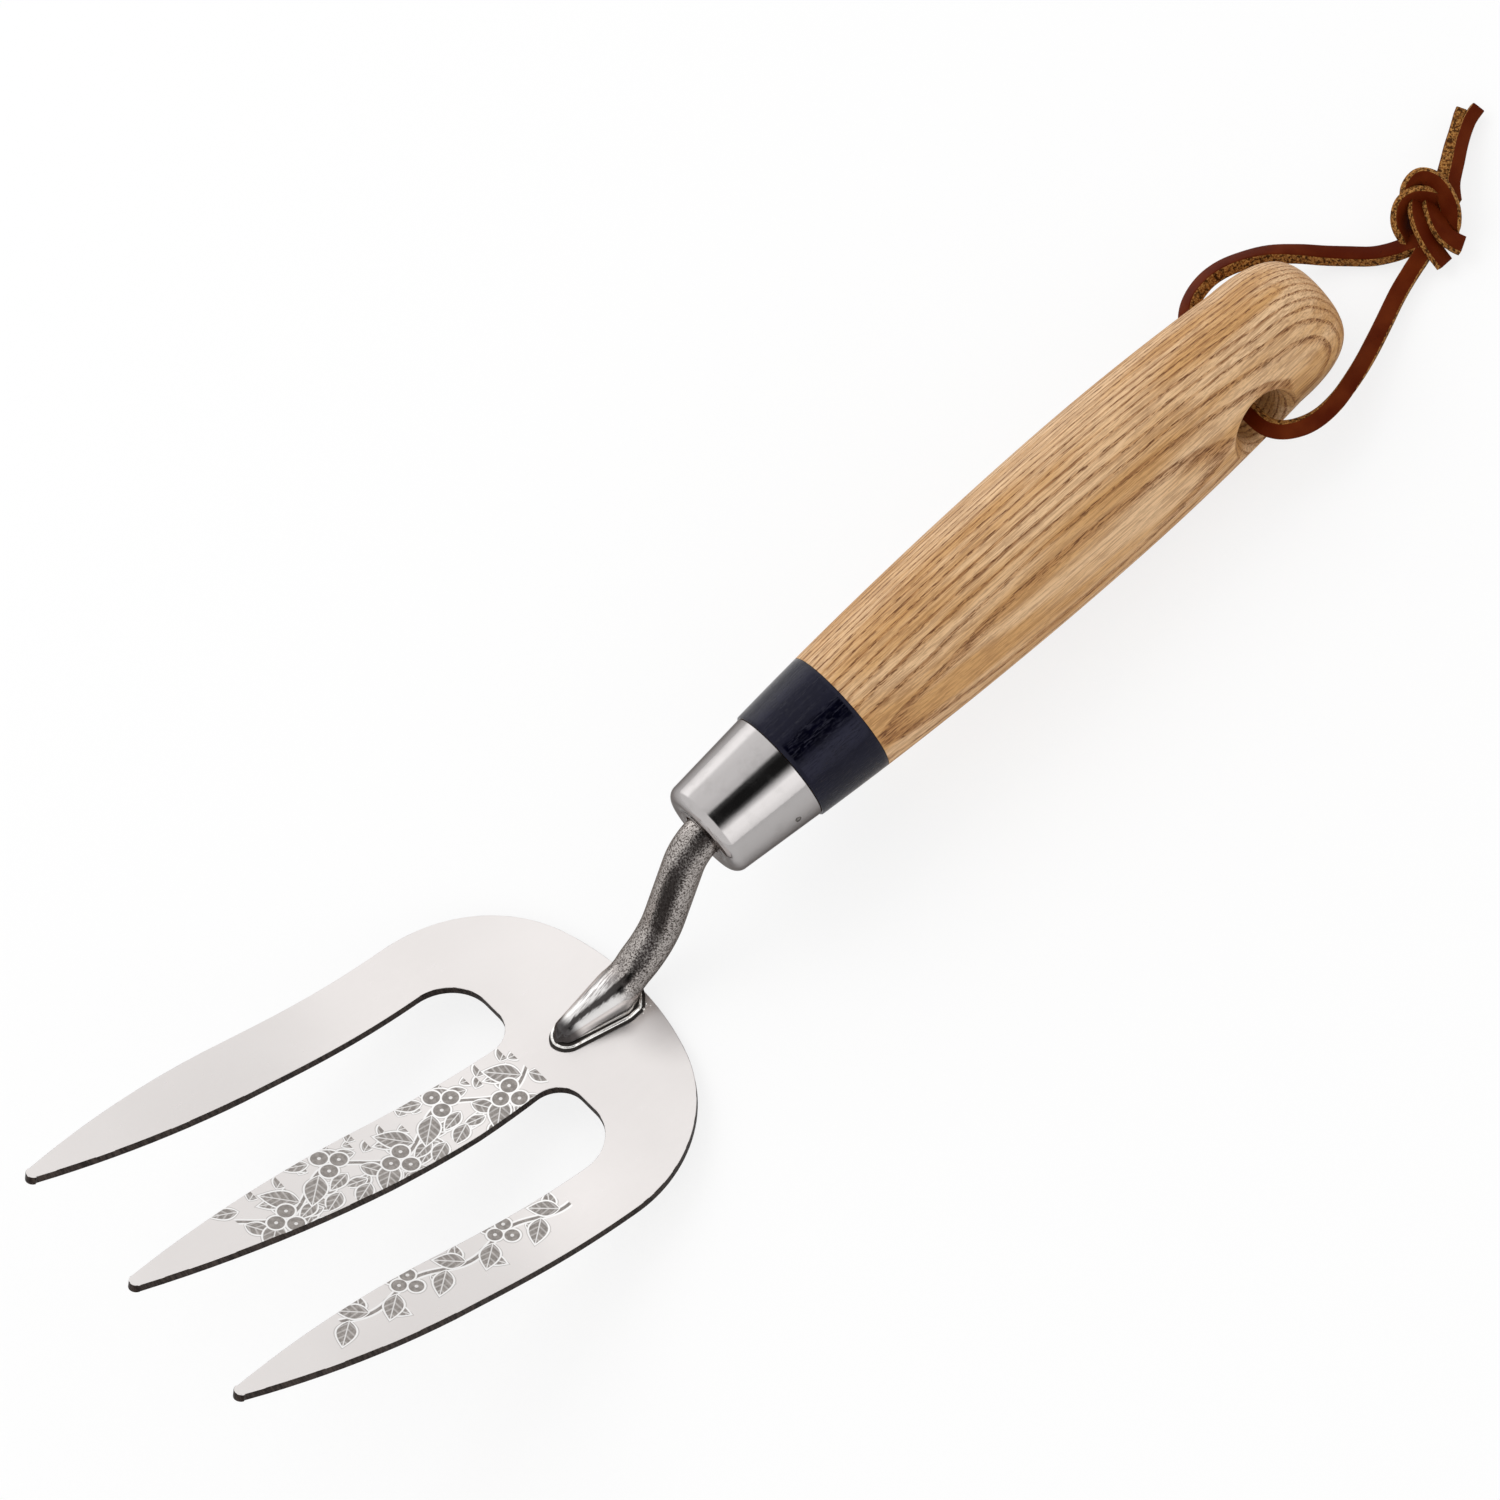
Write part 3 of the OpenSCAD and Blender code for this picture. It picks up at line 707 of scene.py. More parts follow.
def bladeFinish(name, scroll=None):
    look = Finish(name)
    coords = look.forkCoords()
    x, y, _ = look.xyz(coords)
    cloud = look.noise(coords, 22, 2)
    brushed = look.noise(coords, 1500, 3, 0.6, (0.06, 1, 1))
    colour = look.mix(cloud.ease(0.3, 0.75), blade["deep"], blade["light"])
    # a ragged grey patch that darkens the plate behind the heel
    hazeX, hazeY = blade["hazeAt"]
    haze = ((x - hazeX * mm) ** 2.0 + (y - hazeY * mm) ** 2.0) ** 0.5 + (cloud - 0.5) * (blade["hazeRagged"] * mm)
    far, near = blade["hazeReach"]
    colour = look.mix(haze.ease(far * mm, near * mm) * 0.6, colour, blade["haze"])
    metallic, roughness, height = 1.0, (brushed - 0.5) * 0.12 + 0.3, brushed * 0.4
    if scroll:
        grit = look.noise(coords, 1100, 3, 0.7)
        grey, pale, line = etchedScroll(look, scroll, x / -mm, y / mm)
        colour = look.mix(line * (1 - grey), colour, blade["etchLine"])
        colour = look.mix(pale * 0.8, colour, blade["etchPale"])
        colour = look.mix(grey * 0.92, colour, look.mix(grit.ease(0.35, 0.7), blade["etch"], blade["etchGrit"]))
        metallic, roughness, height = 1 - grey * 0.8, roughness + grey * 0.3, height - grey * 1.5
    return look.put(Base_Color=colour, Metallic=metallic, Roughness=roughness, Specular_Tint=blade["edgeTint"],
                    Normal=look.bump(height, 0.02, 0.5))


# the second finish gives the side walls their painted dark reflection
headPlate = makeHead([bladeFinish("bladeSteel"), speckledMetal("cutEdgeDarkReflectionSteel", blade["cutEdgeDarkReflection"]),
                      bladeFinish("etchedMiddle", scrolls["middle"]), bladeFinish("etchedSide", scrolls["near"])])
print("head bent and etched:", len(headPlate.data.polygons), "faces")


neck = dict(diameter=8.2, inside=-12, crankStart=-18.1, crankAngle=52, bend1=10.5, bend2=20, sides=48)
# the pressed foot, in mm along the plate toward the nose, from above where the weld is measured
foot = dict(rise=9, lift=3.4, begins=-7, behind=40, pressed=(-5, 1.5), widened=(-4, 0.5), heel=1.5, width=9.4,
            spread=0.15, nose=15.3, noseWidth=5.2, noseHeight=3.6, sunk=0.7, skirt=0.9, crest=0.6, flank=0.55,
            lean=1.9, farSpread=0.4, farMiddle=0.45)


def plateFrame():
    # from (u to the nose, across, out of the plate) at the plate's upper face
    rise = math.radians(foot["rise"])
    turn = Matrix(((-math.cos(rise), 0, math.sin(rise)), (0, 1, 0), (math.sin(rise), 0, math.cos(rise)))).to_4x4()
    return Matrix.Translation((-head["weldAt"] * mm, 0, -head["drop"] * mm)) @ turn


def makeNeck(material):
    rise, crank = math.radians(foot["rise"]), math.radians(neck["crankAngle"])
    startX, r1, r2, weldAt = neck["crankStart"], neck["bend1"], neck["bend2"], head["weldAt"]
    # the crank's line and the foot's line meet at a corner, which the second bend rounds off
    endOne = Vector((startX - r1 * math.sin(crank), -r1 * (1 - math.cos(crank))))
    axisZ = -head["drop"] + foot["lift"] / math.cos(rise)
    slope, steep = math.tan(rise), math.tan(crank)
    cornerX = (axisZ - weldAt * slope - endOne.y + steep * endOne.x) / (steep + slope)
    corner = Vector((cornerX, axisZ - slope * (cornerX + weldAt)))
    tangent = r2 * math.tan((crank + rise) / 2)
    run = (corner - endOne).length - tangent
    footStart = corner - tangent * Vector((math.cos(rise), -math.sin(rise)))
    centreTwo = footStart + r2 * Vector((math.sin(rise), math.cos(rise)))
    obj = startRing("neckRod", neck["inside"], neck["diameter"] / 2, neck["sides"], filled=True)
    pull(startX - neck["inside"])
    bpy.ops.mesh.spin(steps=12, angle=crank, center=(startX * mm, 0, -r1 * mm), axis=(0, 1, 0))
    for _ in range(6):
        pull(-run / 6 * math.cos(crank), -run / 6 * math.sin(crank))
    bpy.ops.mesh.spin(steps=18, angle=-(crank + rise), center=(centreTwo.x * mm, 0, centreTwo.y * mm), axis=(0, 1, 0))
    stretch = foot["nose"] - (-weldAt - footStart.x) / math.cos(rise)
    for _ in range(16):
        pull(-stretch / 16 * math.cos(rise), stretch / 16 * math.sin(rise))
    bpy.ops.mesh.edge_face_add()
    bpy.ops.object.mode_set(mode="OBJECT")
    shapeFoot(obj)
    return forkPiece(obj, "neckRod", material, ["neck"], 60)


def shapeFoot(obj):
    # presses the end of the rod flat below, wide at the heel and narrow at the nose
    back = plateFrame()
    toPlate = back.inverted()
    radius, tip, flank = neck["diameter"] / 2, foot["noseWidth"] / 2, foot["flank"]
    noseCentre = foot["nose"] - tip
    heelHeight = 2 * radius - foot["sunk"]
    for vert in obj.data.vertices:
        u, across, height = (toPlate @ vert.co) / mm
        if u < foot["begins"] or vert.co.x > -foot["behind"] * mm:
            continue
        half = radius + (foot["width"] / 2 + foot["spread"] - radius) * blendIn(u, *foot["widened"])
        half = half + (tip - half) * shareOf(u, foot["heel"], noseCentre)
        rounded = math.sqrt(max(1 - (max(u - noseCentre, 0) / tip) ** 2, 0.02))
        half *= rounded
        ridge = heelHeight - (heelHeight - foot["noseHeight"]) * shareOf(u, 1, noseCentre)
        ridge *= max(rounded, 0.2)
        # place on the round section, as an angle from the top: a round back, sloping sides, a low upright skirt
        a = math.atan2(across, height - foot["lift"])
        top, wide = math.cos(a), abs(math.sin(a))
        skirt = foot["skirt"] * min(ridge, 1)
        crest = ridge * foot["crest"]
        drop = skirt - ridge + crest
        tangent = math.atan2(half, drop) - math.acos(min(crest / math.hypot(half, drop), 1))
        turn = abs(a) / (math.pi / 2)
        if across > 0:
            # the far side keeps the rod's roundness
            middle = ridge * foot["farMiddle"]
            side = radius + foot["farSpread"]
            newAcross = (side + (tip - side) * shareOf(u, 0, noseCentre)) * wide ** 0.8 * rounded
            newHeight = middle + (ridge - middle) * top ** 0.85 if top > 0 else middle * (1 - min(-1.6 * top, 1))
        elif turn <= flank:
            newAcross = -crest * math.sin(tangent * turn / flank)
            newHeight = ridge - crest + crest * math.cos(tangent * turn / flank)
        elif turn <= 1:
            down = (turn - flank) / (1 - flank)
            newAcross = -crest * math.sin(tangent) * (1 - down) - half * down
            newHeight = (ridge - crest + crest * math.cos(tangent)) * (1 - down) + skirt * down
        else:
            newAcross = -half * min(wide / 0.866, 1)
            newHeight = skirt * (1 - min(2 * abs(top), 1))
        if abs(across) < 1e-6:
            newAcross = 0
        # the crest leans to the near side
        leaning = newHeight / ridge if across < 0 else max(newHeight / ridge - 0.45, 0) / 0.55
        newAcross -= foot["lean"] * leaning * (1 - 0.75 * shareOf(u, 0, noseCentre)) * rounded
        pressed = blendIn(u, *foot["pressed"])
        across += (newAcross - across) * pressed
        height += (newHeight - height) * pressed
        vert.co = back @ (Vector((u, across, max(height, 0.0))) * mm)


# facings: which way the painted dark reflection, in the colour called scale, looks at the top, then (from, to,
# direction) further down; crest: mm across
rod = dict(pale=(0.62, 0.575, 0.545), deep=(0.085, 0.07, 0.062), scale=(0.022, 0.018, 0.017), bright=(0.84, 0.82, 0.81),
           mark=(0.20, 0.18, 0.18), nose=(0.035, 0.03, 0.031), edgeTint=(0.45, 0.42, 0.4),
           top=(-0.25, -0.62, 0.74), facings=[(20, 32, (-0.753, -0.440, 0.490)), (33, 49, (-0.20, -0.64, 0.74))],
           crestAt=-2.7, crestDrift=1.9, crestHalf=(1.3, 0.7), crestRagged=1.4)


def rodFinish():
    look = Finish("rodSteel")
    coords = look.forkCoords()
    x, y, _ = look.xyz(coords)

    def past(start, end):
        # 0 to 1 over a stretch, in mm in front of the ferrule's rim
        return (-x).ease(start * mm, end * mm)

    speckle = look.noise(coords, 2800, 3, 0.7)
    cloud = look.noise(coords, 160, 3)
    slanted = look.node("ShaderNodeMapping", None, {"Vector": coords, "Rotation": (0, 0, math.radians(-7))}).outputs[0]
    ground = look.noise(slanted, 2600, 3, 0.6, (0.06, 1, 1))
    onFoot = past(47.5, 53)
    colour = look.mix(speckle.ease(0.42, 0.62) * (1 - onFoot * 0.85), rod["pale"], rod["deep"])
    colour = look.mix(onFoot * (cloud.ease(0.15, 0.45) * 0.12 + 0.88), colour, rod["bright"])
    # grinding marks on the back of the foot
    marked = past(44, 50) * past(62, 54) * y.ease(-2.2 * mm, -0.8 * mm) * y.ease(3.6 * mm, 1.8 * mm)
    colour = look.mix(ground.ease(0.45, 0.6) * marked * 0.75, colour, rod["mark"])
    # painted dark reflection along the front of the crank, where the rod faces the set direction
    front = rod["top"]
    for start, end, facing in rod["facings"]:
        turned = look.node("ShaderNodeMix", {"data_type": "VECTOR"}, {0: past(start, end), 4: front, 5: facing})
        front = turned.outputs[1]
    outward = look.dot(look.node("ShaderNodeNewGeometry").outputs["Normal"], front)
    darkReflectionMask = (outward + (speckle - 0.5) * 0.24).ease(0.8, 0.97) * past(52, 48)
    # and a painted dark reflection along the crest of the foot
    crestY = past(48, 63) * (rod["crestDrift"] * mm) + rod["crestAt"] * mm
    widening = (ground - 0.5) * (rod["crestRagged"] * mm) + past(48, 57) * (0.35 * mm)
    crestDarkReflection = ((y - crestY).size() + widening).ease(*(half * mm for half in rod["crestHalf"])) * outward.ease(0.0, 0.2)
    darkReflectionMask = darkReflectionMask.most(crestDarkReflection * past(45, 47.5) * past(65, 61))
    # mixes in the painted dark reflection
    colour = look.mix(darkReflectionMask * 0.94, colour, rod["scale"])
    nose = (-x + y.size() * 0.25).ease(60.4 * mm, 62.8 * mm)
    colour = look.mix(nose * 0.92, colour, rod["nose"])
    return look.put(Base_Color=colour, Metallic=1.0, Roughness=0.24 - onFoot * 0.08 + (speckle - 0.5) * 0.15,
                    Normal=look.bump(speckle * (1 - onFoot * 0.8) + ground * onFoot * 0.3, 0.015, 0.5),
                    Specular_Tint=rod["edgeTint"])


neckRod = makeNeck(rodFinish())
print("neck cranked and pressed")


# spatter: mm along and across the plate, and radius
weld = dict(gap=0.7, bead=0.38, scorchAndShade=0.95, farSide=2.7, points=240, sides=10,
            spatter=[(-1.6, -5.9, 0.32), (-2.7, -5.2, 0.22), (-0.9, -6.5, 0.18), (-3.1, -6.1, 0.15)],
            steel=dict(colour=(0.97, 0.96, 0.93), spots=(0.5, 0.45, 0.4), scale=1500, harsh=0.6, span=(0.5, 0.75),
                       roughness=0.16, swing=0.2, relief=(0.02, 0.5)),
            # the groove's near-black finish: burnt scale, darkened further as painted shade
            burntAndShade=dict(colour=(0.008, 0.007, 0.006), spots=(0.04, 0.033, 0.028), scale=900, harsh=0.5, metallic=0.0,
                       roughness=0.5, gloss=0.2, relief=(0.05, 0.5)))


def footOutline(edge, count):
    # points round the foot, grown by edge, in mm along and across the plate; the far side follows the rod
    tip = foot["noseWidth"] / 2
    near, far = ([(-0.6, behind, 0.6), (foot["heel"], 0, half), (foot["nose"] - tip, 0, tip)]
                 for behind, half in ((-3.9, foot["width"] / 2), (2.6, weld["farSide"])))
    points = []
    for i in range(count):
        a = 2 * math.pi * i / count
        n = (math.cos(a), math.sin(a))
        cx, cy, r = max(near if n[1] < 0 else far, key=lambda c: c[0] * n[0] + c[1] * n[1] + c[2])
        grown = r + edge * (1 - 0.75 * max(n[1], 0))
        points.append((cx + grown * n[0], cy + grown * n[1]))
    return points


def makeWeld(material):
    back = plateFrame()
    outline = footOutline(weld["gap"], weld["points"])
    mesh = bmesh.new()
    rings = []
    for i, (u, v) in enumerate(outline):
        ahead = Vector(outline[(i + 1) % len(outline)]) - Vector(outline[i - 1])
        n = Vector((ahead.y, -ahead.x)).normalized()
        r = weld["bead"] * (1 + 0.12 * noise.noise(Vector((u * 0.9, v * 0.9, 3))) + 0.03 * math.sin(i * 1.9))
        ring = []
        for k in range(weld["sides"]):
            a = 2 * math.pi * k / weld["sides"]
            wide = r * 1.15 * math.cos(a)
            ring.append(mesh.verts.new(back @ (Vector((u + n.x * wide, v + n.y * wide, 0.1 + r * math.sin(a))) * mm)))
        rings.append(ring)
    joinRings(mesh, rings, closed=True)
    for u, v, r in weld["spatter"]:
        bmesh.ops.create_icosphere(mesh, subdivisions=2, radius=r * mm,
                                   matrix=back @ Matrix.Translation((u * mm, v * mm, r * 0.2 * mm)))
    bmesh.ops.remove_doubles(mesh, verts=mesh.verts[:], dist=0.01 * mm)
    forkPiece(meshObject("weldBead", mesh), "weldBead", material, ["weld_bead"], 60)


def makeWeldGroove(material):
    # dark bottom of the groove between the foot and the bead, and a dark skin outside it: burnt weld scale, darkened
    # further as painted shade in the crease and beside the bead
    back = plateFrame()
    mesh = bmesh.new()
    rings = [[mesh.verts.new(back @ (Vector((u, v, height)) * mm)) for u, v in footOutline(edge, weld["points"] // 2)]
             for edge, height in ((weld["gap"] + weld["scorchAndShade"], 0.03), (weld["gap"], 0.16), (-0.3, 0.35))]
    joinRings(mesh, rings, closed=False)
    obj = meshObject("weldGroove", mesh)
    useModifier(obj, "SOLIDIFY", thickness=0.16 * mm, offset=-1)
    forkPiece(obj, "weldGroove", material, angle=40)


makeWeld(speckledMetal("weldSteel", weld["steel"]))
# burnt weld scale darkened further as painted shade
makeWeldGroove(speckledMetal("burntSteelAndShade", weld["burntAndShade"]))
print("foot welded")


# hem: the turned-in small end, as (behind the end, beyond the bore); edge: the rim, as (behind it, inside its radius)
ferrule = dict(rim=12, end=10.2, length=20.4, wall=0.9, round=2.5, bore=4.5, sides=160,
               hem=[(0.25, 0), (0.05, 0.2), (0, 0.45), (0, 1.2), (0.12, 1.35), (0.14, 1.55), (0.02, 1.75)],
               edge=[(-0.16, -0.03), (-0.04, -0.14), (0, -0.3)])


def makeFerrule(material):
    rim, end, bore, wall, rounding = (ferrule[key] for key in ("rim", "end", "bore", "wall", "round"))
    endX = -ferrule["length"]
    taper = (rim - end) / ferrule["length"]
    shoulder = end + taper * rounding
    straight = ferrule["length"] - rounding - 0.35
    profile = [(endX + wall, bore)] + [(endX + x, bore + r) for x, r in ferrule["hem"]]
    profile += arcStations(endX + rounding, shoulder - rounding, rounding, 180, 90, 12)
    profile += [(endX + rounding + straight * i / 8, shoulder + taper * straight * i / 8) for i in range(1, 9)]
    profile += [(x, rim + r) for x, r in ferrule["edge"]]
    profile += [(0, rim - wall), (endX + wall, end - wall), (endX + wall, bore)]
    obj = turnProfile("ferruleCup", profile, ferrule["sides"], closed=True)
    forkPiece(obj, "ferruleCup", material, ["ferrule"], 40)


chrome = dict(clear=(0.57, 0.545, 0.54), rubbed=(0.47, 0.45, 0.44), edgeTint=(0.35, 0.33, 0.32))


def ferruleFinish():
    look = Finish("ferruleSteel")
    coords = look.forkCoords()
    rub = look.noise(coords, 260, 4, 0.65)
    fine = look.noise(coords, 1500, 3, 0.6)
    return look.put(Base_Color=look.mix(rub.ease(0.45, 0.8) * 0.5, chrome["clear"], chrome["rubbed"]), Metallic=1.0,
                    Roughness=0.08 + rub.ease(0.4, 0.8) * 0.08, Specular_Tint=chrome["edgeTint"],
                    Normal=look.bump(rub * 0.6 + fine * 0.15, 0.06, 0.35))


# flat: height of the dome against its radius; seat: how far below its widest ring the ball is cut off
brad = dict(x=-5.0, radius=0.7, flat=0.28, seat=0.06, shank=1.6, segments=24, rings=12,
            steel=dict(colour=(0.05, 0.045, 0.04), spots=(0.35, 0.33, 0.31), scale=1800, harsh=0.5, span=(0.3, 0.7),
                       roughness=0.4, relief=(0.04, 0.5)))


def makeBrad(material):
    # the little nail: a flattened ball, cut off and drawn out into a shank, then laid into the ferrule's side
    x = brad["x"]
    r = ferrule["rim"] + (ferrule["rim"] - ferrule["end"]) / ferrule["length"] * x
    deselect()
    bpy.ops.mesh.primitive_uv_sphere_add(segments=brad["segments"], ring_count=brad["rings"],
                                         radius=brad["radius"] * mm, location=(0, 0, 0))
    obj = bpy.context.object
    editing(obj)
    selectAll()
    bpy.ops.transform.resize(value=(1, 1, brad["flat"]), center_override=(0, 0, 0))
    bpy.ops.mesh.bisect(plane_co=(0, 0, -brad["seat"] * mm), plane_no=(0, 0, 1), clear_inner=True, use_fill=True)
    grabFaces(obj, lambda f: len(f.verts) > 12)
    bpy.ops.mesh.extrude_region_move(TRANSFORM_OT_translate={"value": (0, 0, -brad["shank"] * mm)})
    bpy.ops.object.mode_set(mode="OBJECT")
    obj.data.transform(Matrix.Translation((x * mm, -r * mm, 0)) @ Matrix.Rotation(math.radians(90), 4, "X"))
    forkPiece(obj, "ferruleBrad", material, ["ferrule_brad"], 45)


makeFerrule(ferruleFinish())
makeBrad(speckledMetal("bradSteel", brad["steel"]))
print("ferrule turned")


# front and rear are the radii of the long curves, start, edge and flat shape the round of the butt
grip = dict(length=140.6, radius=15.65, peak=78, front=936, rear=530, paint=16, paintThick=0.25, gap=0.02, shoulder=124,
            start=1.5, edge=14.4, flat=5, hole=12, mouth=16.8, holeX=115, holeEase=0.3, sides=180)


def gripRadius(x):
    curve = grip["front"] if x < grip["peak"] else grip["rear"]
    return grip["radius"] - (x - grip["peak"]) ** 2 / (2 * curve)


def makeHandle(material):
    spigotX, fit = -ferrule["length"] + ferrule["wall"], ferrule["wall"] + grip["gap"]
    stations = [(spigotX, 4.2), (spigotX, ferrule["end"] - fit), (-0.01, ferrule["rim"] - fit)]
    for i in range(7):
        x = grip["paint"] * i / 6
        stations.append((max(x, 0.1), gripRadius(x) - grip["paintThick"] - 0.01))
    for i in range(61):
        x = grip["paint"] + (grip["shoulder"] - grip["paint"]) * i / 60
        stations.append((x, gripRadius(x)))
    # the butt, rounded along one Bezier curve
    turn = grip["shoulder"] + grip["start"]
    a, b, c, d = (Vector(p) for p in ((grip["shoulder"], gripRadius(grip["shoulder"])), (turn, gripRadius(turn)),
                                      (grip["length"], grip["edge"]), (grip["length"], grip["flat"])))
    for i in range(1, 25):
        t = i / 24
        stations.append(tuple((1 - t) ** 3 * a + 3 * t * (1 - t) ** 2 * b + 3 * t * t * (1 - t) * c + t ** 3 * d))
    stations += [(grip["length"], 3), (grip["length"], 1)]
    obj = turnProfile("ashGrip", stations, grip["sides"])
    tidyNormals(obj, 40)
    # the lanyard hole, with dished mouths
    surface, rim, bore = gripRadius(grip["holeX"]), grip["mouth"] / 2, grip["hole"] / 2
    depth = rim - bore
    mouth = [(surface + 3, rim + 3.2), (surface + 0.6, rim + 0.7), (surface - 0.3, rim - 0.35),
             (surface - depth * 0.7, bore + 0.75), (surface - depth, bore + 0.25), (surface - depth - 0.7, bore)]
    cutter = turnProfile("cutter", mouth + [(-x, r) for x, r in reversed(mouth)], 96)
    cutter.data.transform(Matrix.Translation((grip["holeX"] * mm, 0, 0)) @ Matrix.Rotation(math.radians(90), 4, "Z"))
    tidyNormals(cutter, 40)
    useModifier(obj, "BOOLEAN", object=cutter, operation="DIFFERENCE", solver="EXACT")
    bpy.data.objects.remove(cutter)
    useModifier(obj, "BEVEL", width=grip["holeEase"] * mm, segments=2, limit_method="ANGLE",
                angle_limit=math.radians(32))
    shadeSmooth(obj, 40)
    forkPiece(obj, "ashGrip", material, ["handle"])


# pith: its place across the handle in mm; noises: sway, drift, pores, fibre and patches, each with its share of detail
# along the handle, scale, detail and roughness
wood = dict(pale=(0.79, 0.525, 0.295), middle=(0.61, 0.335, 0.125), warm=(0.40, 0.175, 0.05), line=(0.24, 0.095, 0.028),
            pore=(0.13, 0.045, 0.014), gloss=0.3, pith=(43.1, -12.9), runOff=(0.010, 0.012), ring=1.4, sway=2.2,
            drift=0.8, noises=[(0.16, 45, 2, 0.5), (0.14, 170, 2, 0.5), (0.08, 4600, 2, 0.55), (0.025, 2600, 3, 0.65),
                               (0.1, 190, 3, 0.55)])


def woodGrain(look):
    # growth rings round a pith beside and below the handle, and pores that lie along the grain
    coords = look.forkCoords()
    x, y, z = look.xyz(coords)
    sway, drift, pores, fibre, patches = (look.noise(coords, scale, detail, roughness, (share, 1, 1))
                                          for share, scale, detail, roughness in wood["noises"])
    across = y - wood["pith"][0] * mm + x * wood["runOff"][0]
    up = z - wood["pith"][1] * mm - x * wood["runOff"][1]
    distance = ((across * across + up * up) ** 0.5 + (sway - 0.5) * (wood["sway"] * mm)
                + (drift - 0.5) * (wood["drift"] * mm))
    phase = (distance / (wood["ring"] * mm)).calc("FRACT")
    early = phase.ease(0.42, 0.08).most(phase.ease(0.93, 1.0))
    return coords, early, pores, fibre, patches


def woodFinish():
    look = Finish("ashWood")
    _, early, pores, fibre, patches = woodGrain(look)
    endGrain = look.xyz(look.node("ShaderNodeNewGeometry").outputs["Normal"])[0].ease(0.25, 0.95)
    colour = look.mix(patches.ease(0.35, 0.65), wood["pale"], wood["middle"])
    colour = look.mix(early * (0.3 + patches * 0.5), colour, wood["warm"])
    colour = look.mix(fibre.ease(0.44, 0.6) * (early * 0.35 + 0.42), colour, wood["line"])
    colour = look.mix(endGrain * 0.35, colour, wood["warm"])
    dashes = pores.ease(0.525, 0.59) * (early * 0.75 + 0.25)
    colour = look.mix(dashes * 0.9, colour, wood["pore"])
    return look.put(Base_Color=colour, Roughness=0.5 + dashes * 0.2 + (fibre - 0.5) * 0.1,
                    Normal=look.bump(fibre * 0.35 - dashes, 0.06, 0.5), Specular_IOR_Level=wood["gloss"])


def makePaint(material):
    length, thick = grip["paint"], grip["paintThick"]
    outer = [(length * i / 14, gripRadius(length * i / 14)) for i in range(15)]
    outer[0], outer[-1] = (0.12, outer[0][1]), (length - 0.1, outer[-1][1])
    inner = [(length * i / 6, gripRadius(length * i / 6) - thick) for i in range(6, -1, -1)]
    inner[-1] = (0.06, inner[-1][1])
    start = [(0.06, ferrule["rim"] - 0.15), (0, ferrule["rim"] - 0.15), (0, gripRadius(0) - 0.12)]
    stations = start + outer + [(length, gripRadius(length) - 0.1)] + inner + start[:1]
    obj = turnProfile("paintBand", stations, grip["sides"], closed=True)
    forkPiece(obj, "paintBand", material, ["painted_band"], 50)


paint = dict(deep=(0.0006, 0.0006, 0.003), worn=(0.0016, 0.0016, 0.007), gloss=0.33, glossTint=(0.7, 0.7, 1))


def paintFinish():
    look = Finish("navyLacquer")
    coords, early, pores, fibre, _ = woodGrain(look)
    dashes = pores.ease(0.53, 0.66) * (early * 0.8 + 0.2)
    worn = look.noise(coords, 260, 3)
    colour = look.mix(worn.ease(0.3, 0.8), paint["deep"], paint["worn"])
    return look.put(Base_Color=colour, Roughness=0.065 + (worn - 0.5) * 0.04 + dashes * 0.08,
                    Normal=look.bump(fibre * 0.25 - dashes, 0.11, 0.75), Specular_IOR_Level=paint["gloss"],
                    Specular_Tint=paint["glossTint"])


makeHandle(woodFinish())
makePaint(paintFinish())
print("handle turned, bored and painted")


# strips: brightness round the tool, as (degrees about its length from the viewer, level), left side first
studio = dict(floorSize=8, floorShown=0.8, floorInMetal=0.24, key=7.0, keySize=1.1, keyPlace=(-0.25, 1.0, 1.35),
              startOfFlag=(0.12, 0.32), front=0.85, endOfFlag=(0.2, 0.42), dimmer=(0.62, 0.92), high=1.16, low=0.55,
              peak=1.5, strips=[(-180, 1.0), (-125, 1.05), (-104, 1.5), (-92, 1.5), (-84, 1.0), (-66, 0.9),
                                (-45, 0.88), (-27, 0.75), (-21, 0.06), (-12, 0.012), (6, 0.012), (11, 0.1), (20, 0.8),
                                (27, 1.4), (42, 1.35), (58, 1.1), (66, 0.72), (76, 0.95), (110, 0.85), (180, 0.9)])


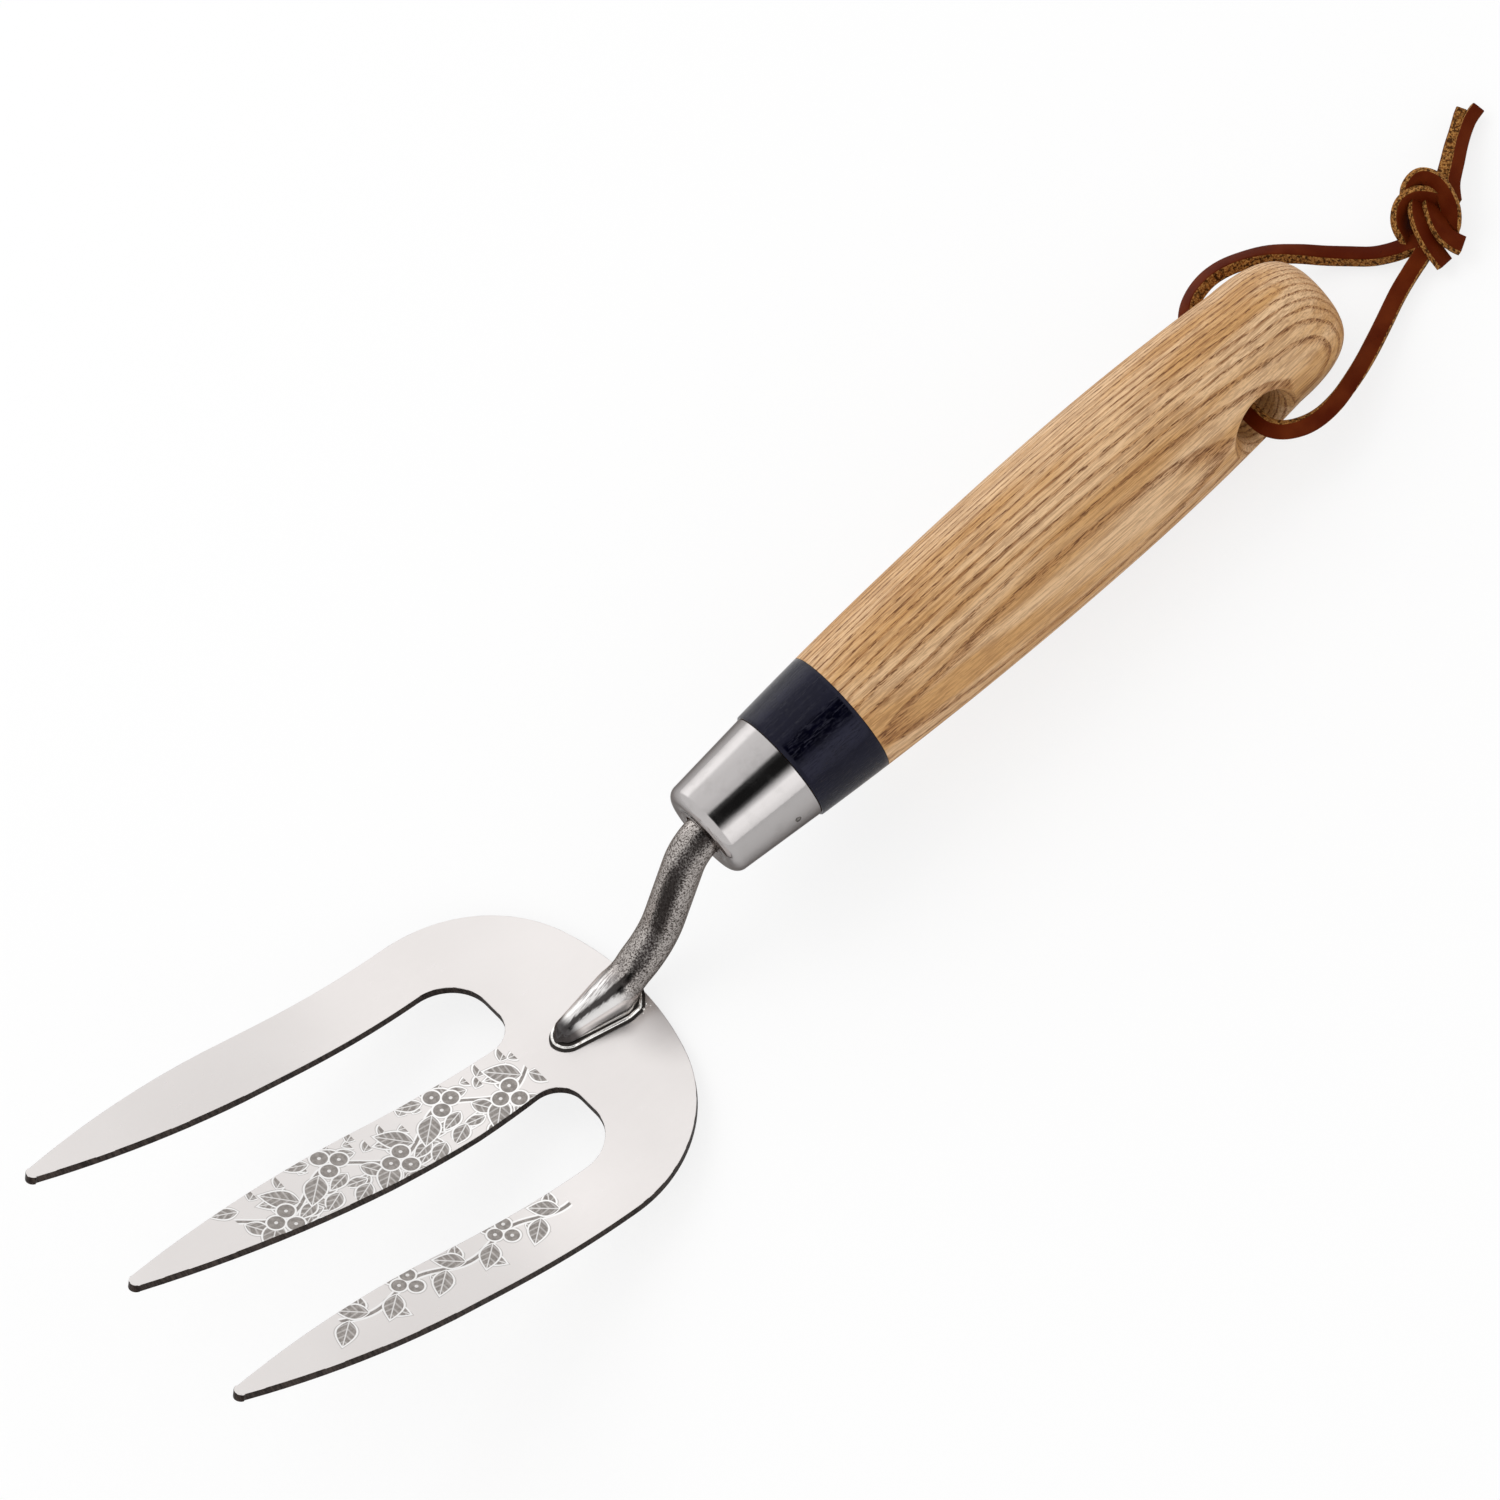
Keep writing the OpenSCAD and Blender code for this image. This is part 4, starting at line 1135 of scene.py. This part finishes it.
def makeFloor():
    deselect()
    bpy.ops.mesh.primitive_plane_add(size=studio["floorSize"], location=(0, 0, 0))
    floor = bpy.context.object
    floor.name = "floor"
    look = Finish("floorWhite")
    look.put(Base_Color=(0.94, 0.94, 0.94), Roughness=0.9, Specular_IOR_Level=0.0)
    path = look.node("ShaderNodeLightPath")
    direct = look.num(path.outputs["Is Camera Ray"]).most(look.num(path.outputs["Is Transmission Ray"]))
    # white to the eye, a little darker where metal mirrors it
    glow = look.node("ShaderNodeEmission", None, {"Color": direct, "Strength": 1.0})
    share = direct * studio["floorShown"] + look.num(path.outputs["Is Glossy Ray"]) * studio["floorInMetal"]
    both = look.node("ShaderNodeMixShader", None, {0: share, 1: look.shader.outputs[0], 2: glow.outputs[0]})
    look.tree.links.new(both.outputs[0], look.tree.nodes["Material Output"].inputs[0])
    floor.data.materials.append(look.material)


class Sky(Finish):
    # the world's own node tree
    def __init__(self):
        world = bpy.data.worlds.new("studio")
        bpy.context.scene.world = world
        world.use_nodes = True
        self.tree = world.node_tree
        self.shader = self.tree.nodes["Background"]


def makeLight():
    # soft strips laid along the tool, with a black flag between them that ends above the handle
    sky = Sky()
    ray = sky.node("ShaderNodeTexCoord").outputs["Generated"]
    along = layDown.to_3x3() @ Vector((1, 0, 0))
    above = viewDirection(0, 0, 1)
    above = (above - above.dot(along) * along).normalized()
    angle = sky.dot(ray, along.cross(above)).calc("ARCTAN2", sky.dot(ray, above)) / (2 * math.pi) + 0.5
    stops = [((degrees + 180) / 360, (level / studio["peak"],) * 3) for degrees, level in studio["strips"]]
    strips = sky.num(sky.ramp(angle, stops)) * studio["peak"]
    ahead = sky.dot(ray, along)
    flagEnd = ahead.ease(*studio["endOfFlag"])
    level = ahead.ease(*studio["dimmer"]) * (studio["low"] - studio["high"]) + studio["high"]
    # plain sky beyond the tines too
    front = (-ahead).ease(*studio["startOfFlag"])
    strips = strips * (1 - flagEnd) * (1 - front) + front * studio["front"]
    sky.plug(sky.shader.inputs["Color"], strips + flagEnd * level)
    lamp = bpy.data.lights.new("key", "AREA")
    lamp.energy = studio["key"]
    lamp.size = studio["keySize"]
    obj = bpy.data.objects.new("key", lamp)
    obj.location = studio["keyPlace"]
    obj.rotation_euler = (-Vector(studio["keyPlace"])).to_track_quat("-Z", "Y").to_euler()
    obj.visible_glossy = False
    bpy.context.collection.objects.link(obj)


makeFloor()
makeLight()
bpy.context.scene.view_settings.view_transform = "Standard"
print("floor and light set")
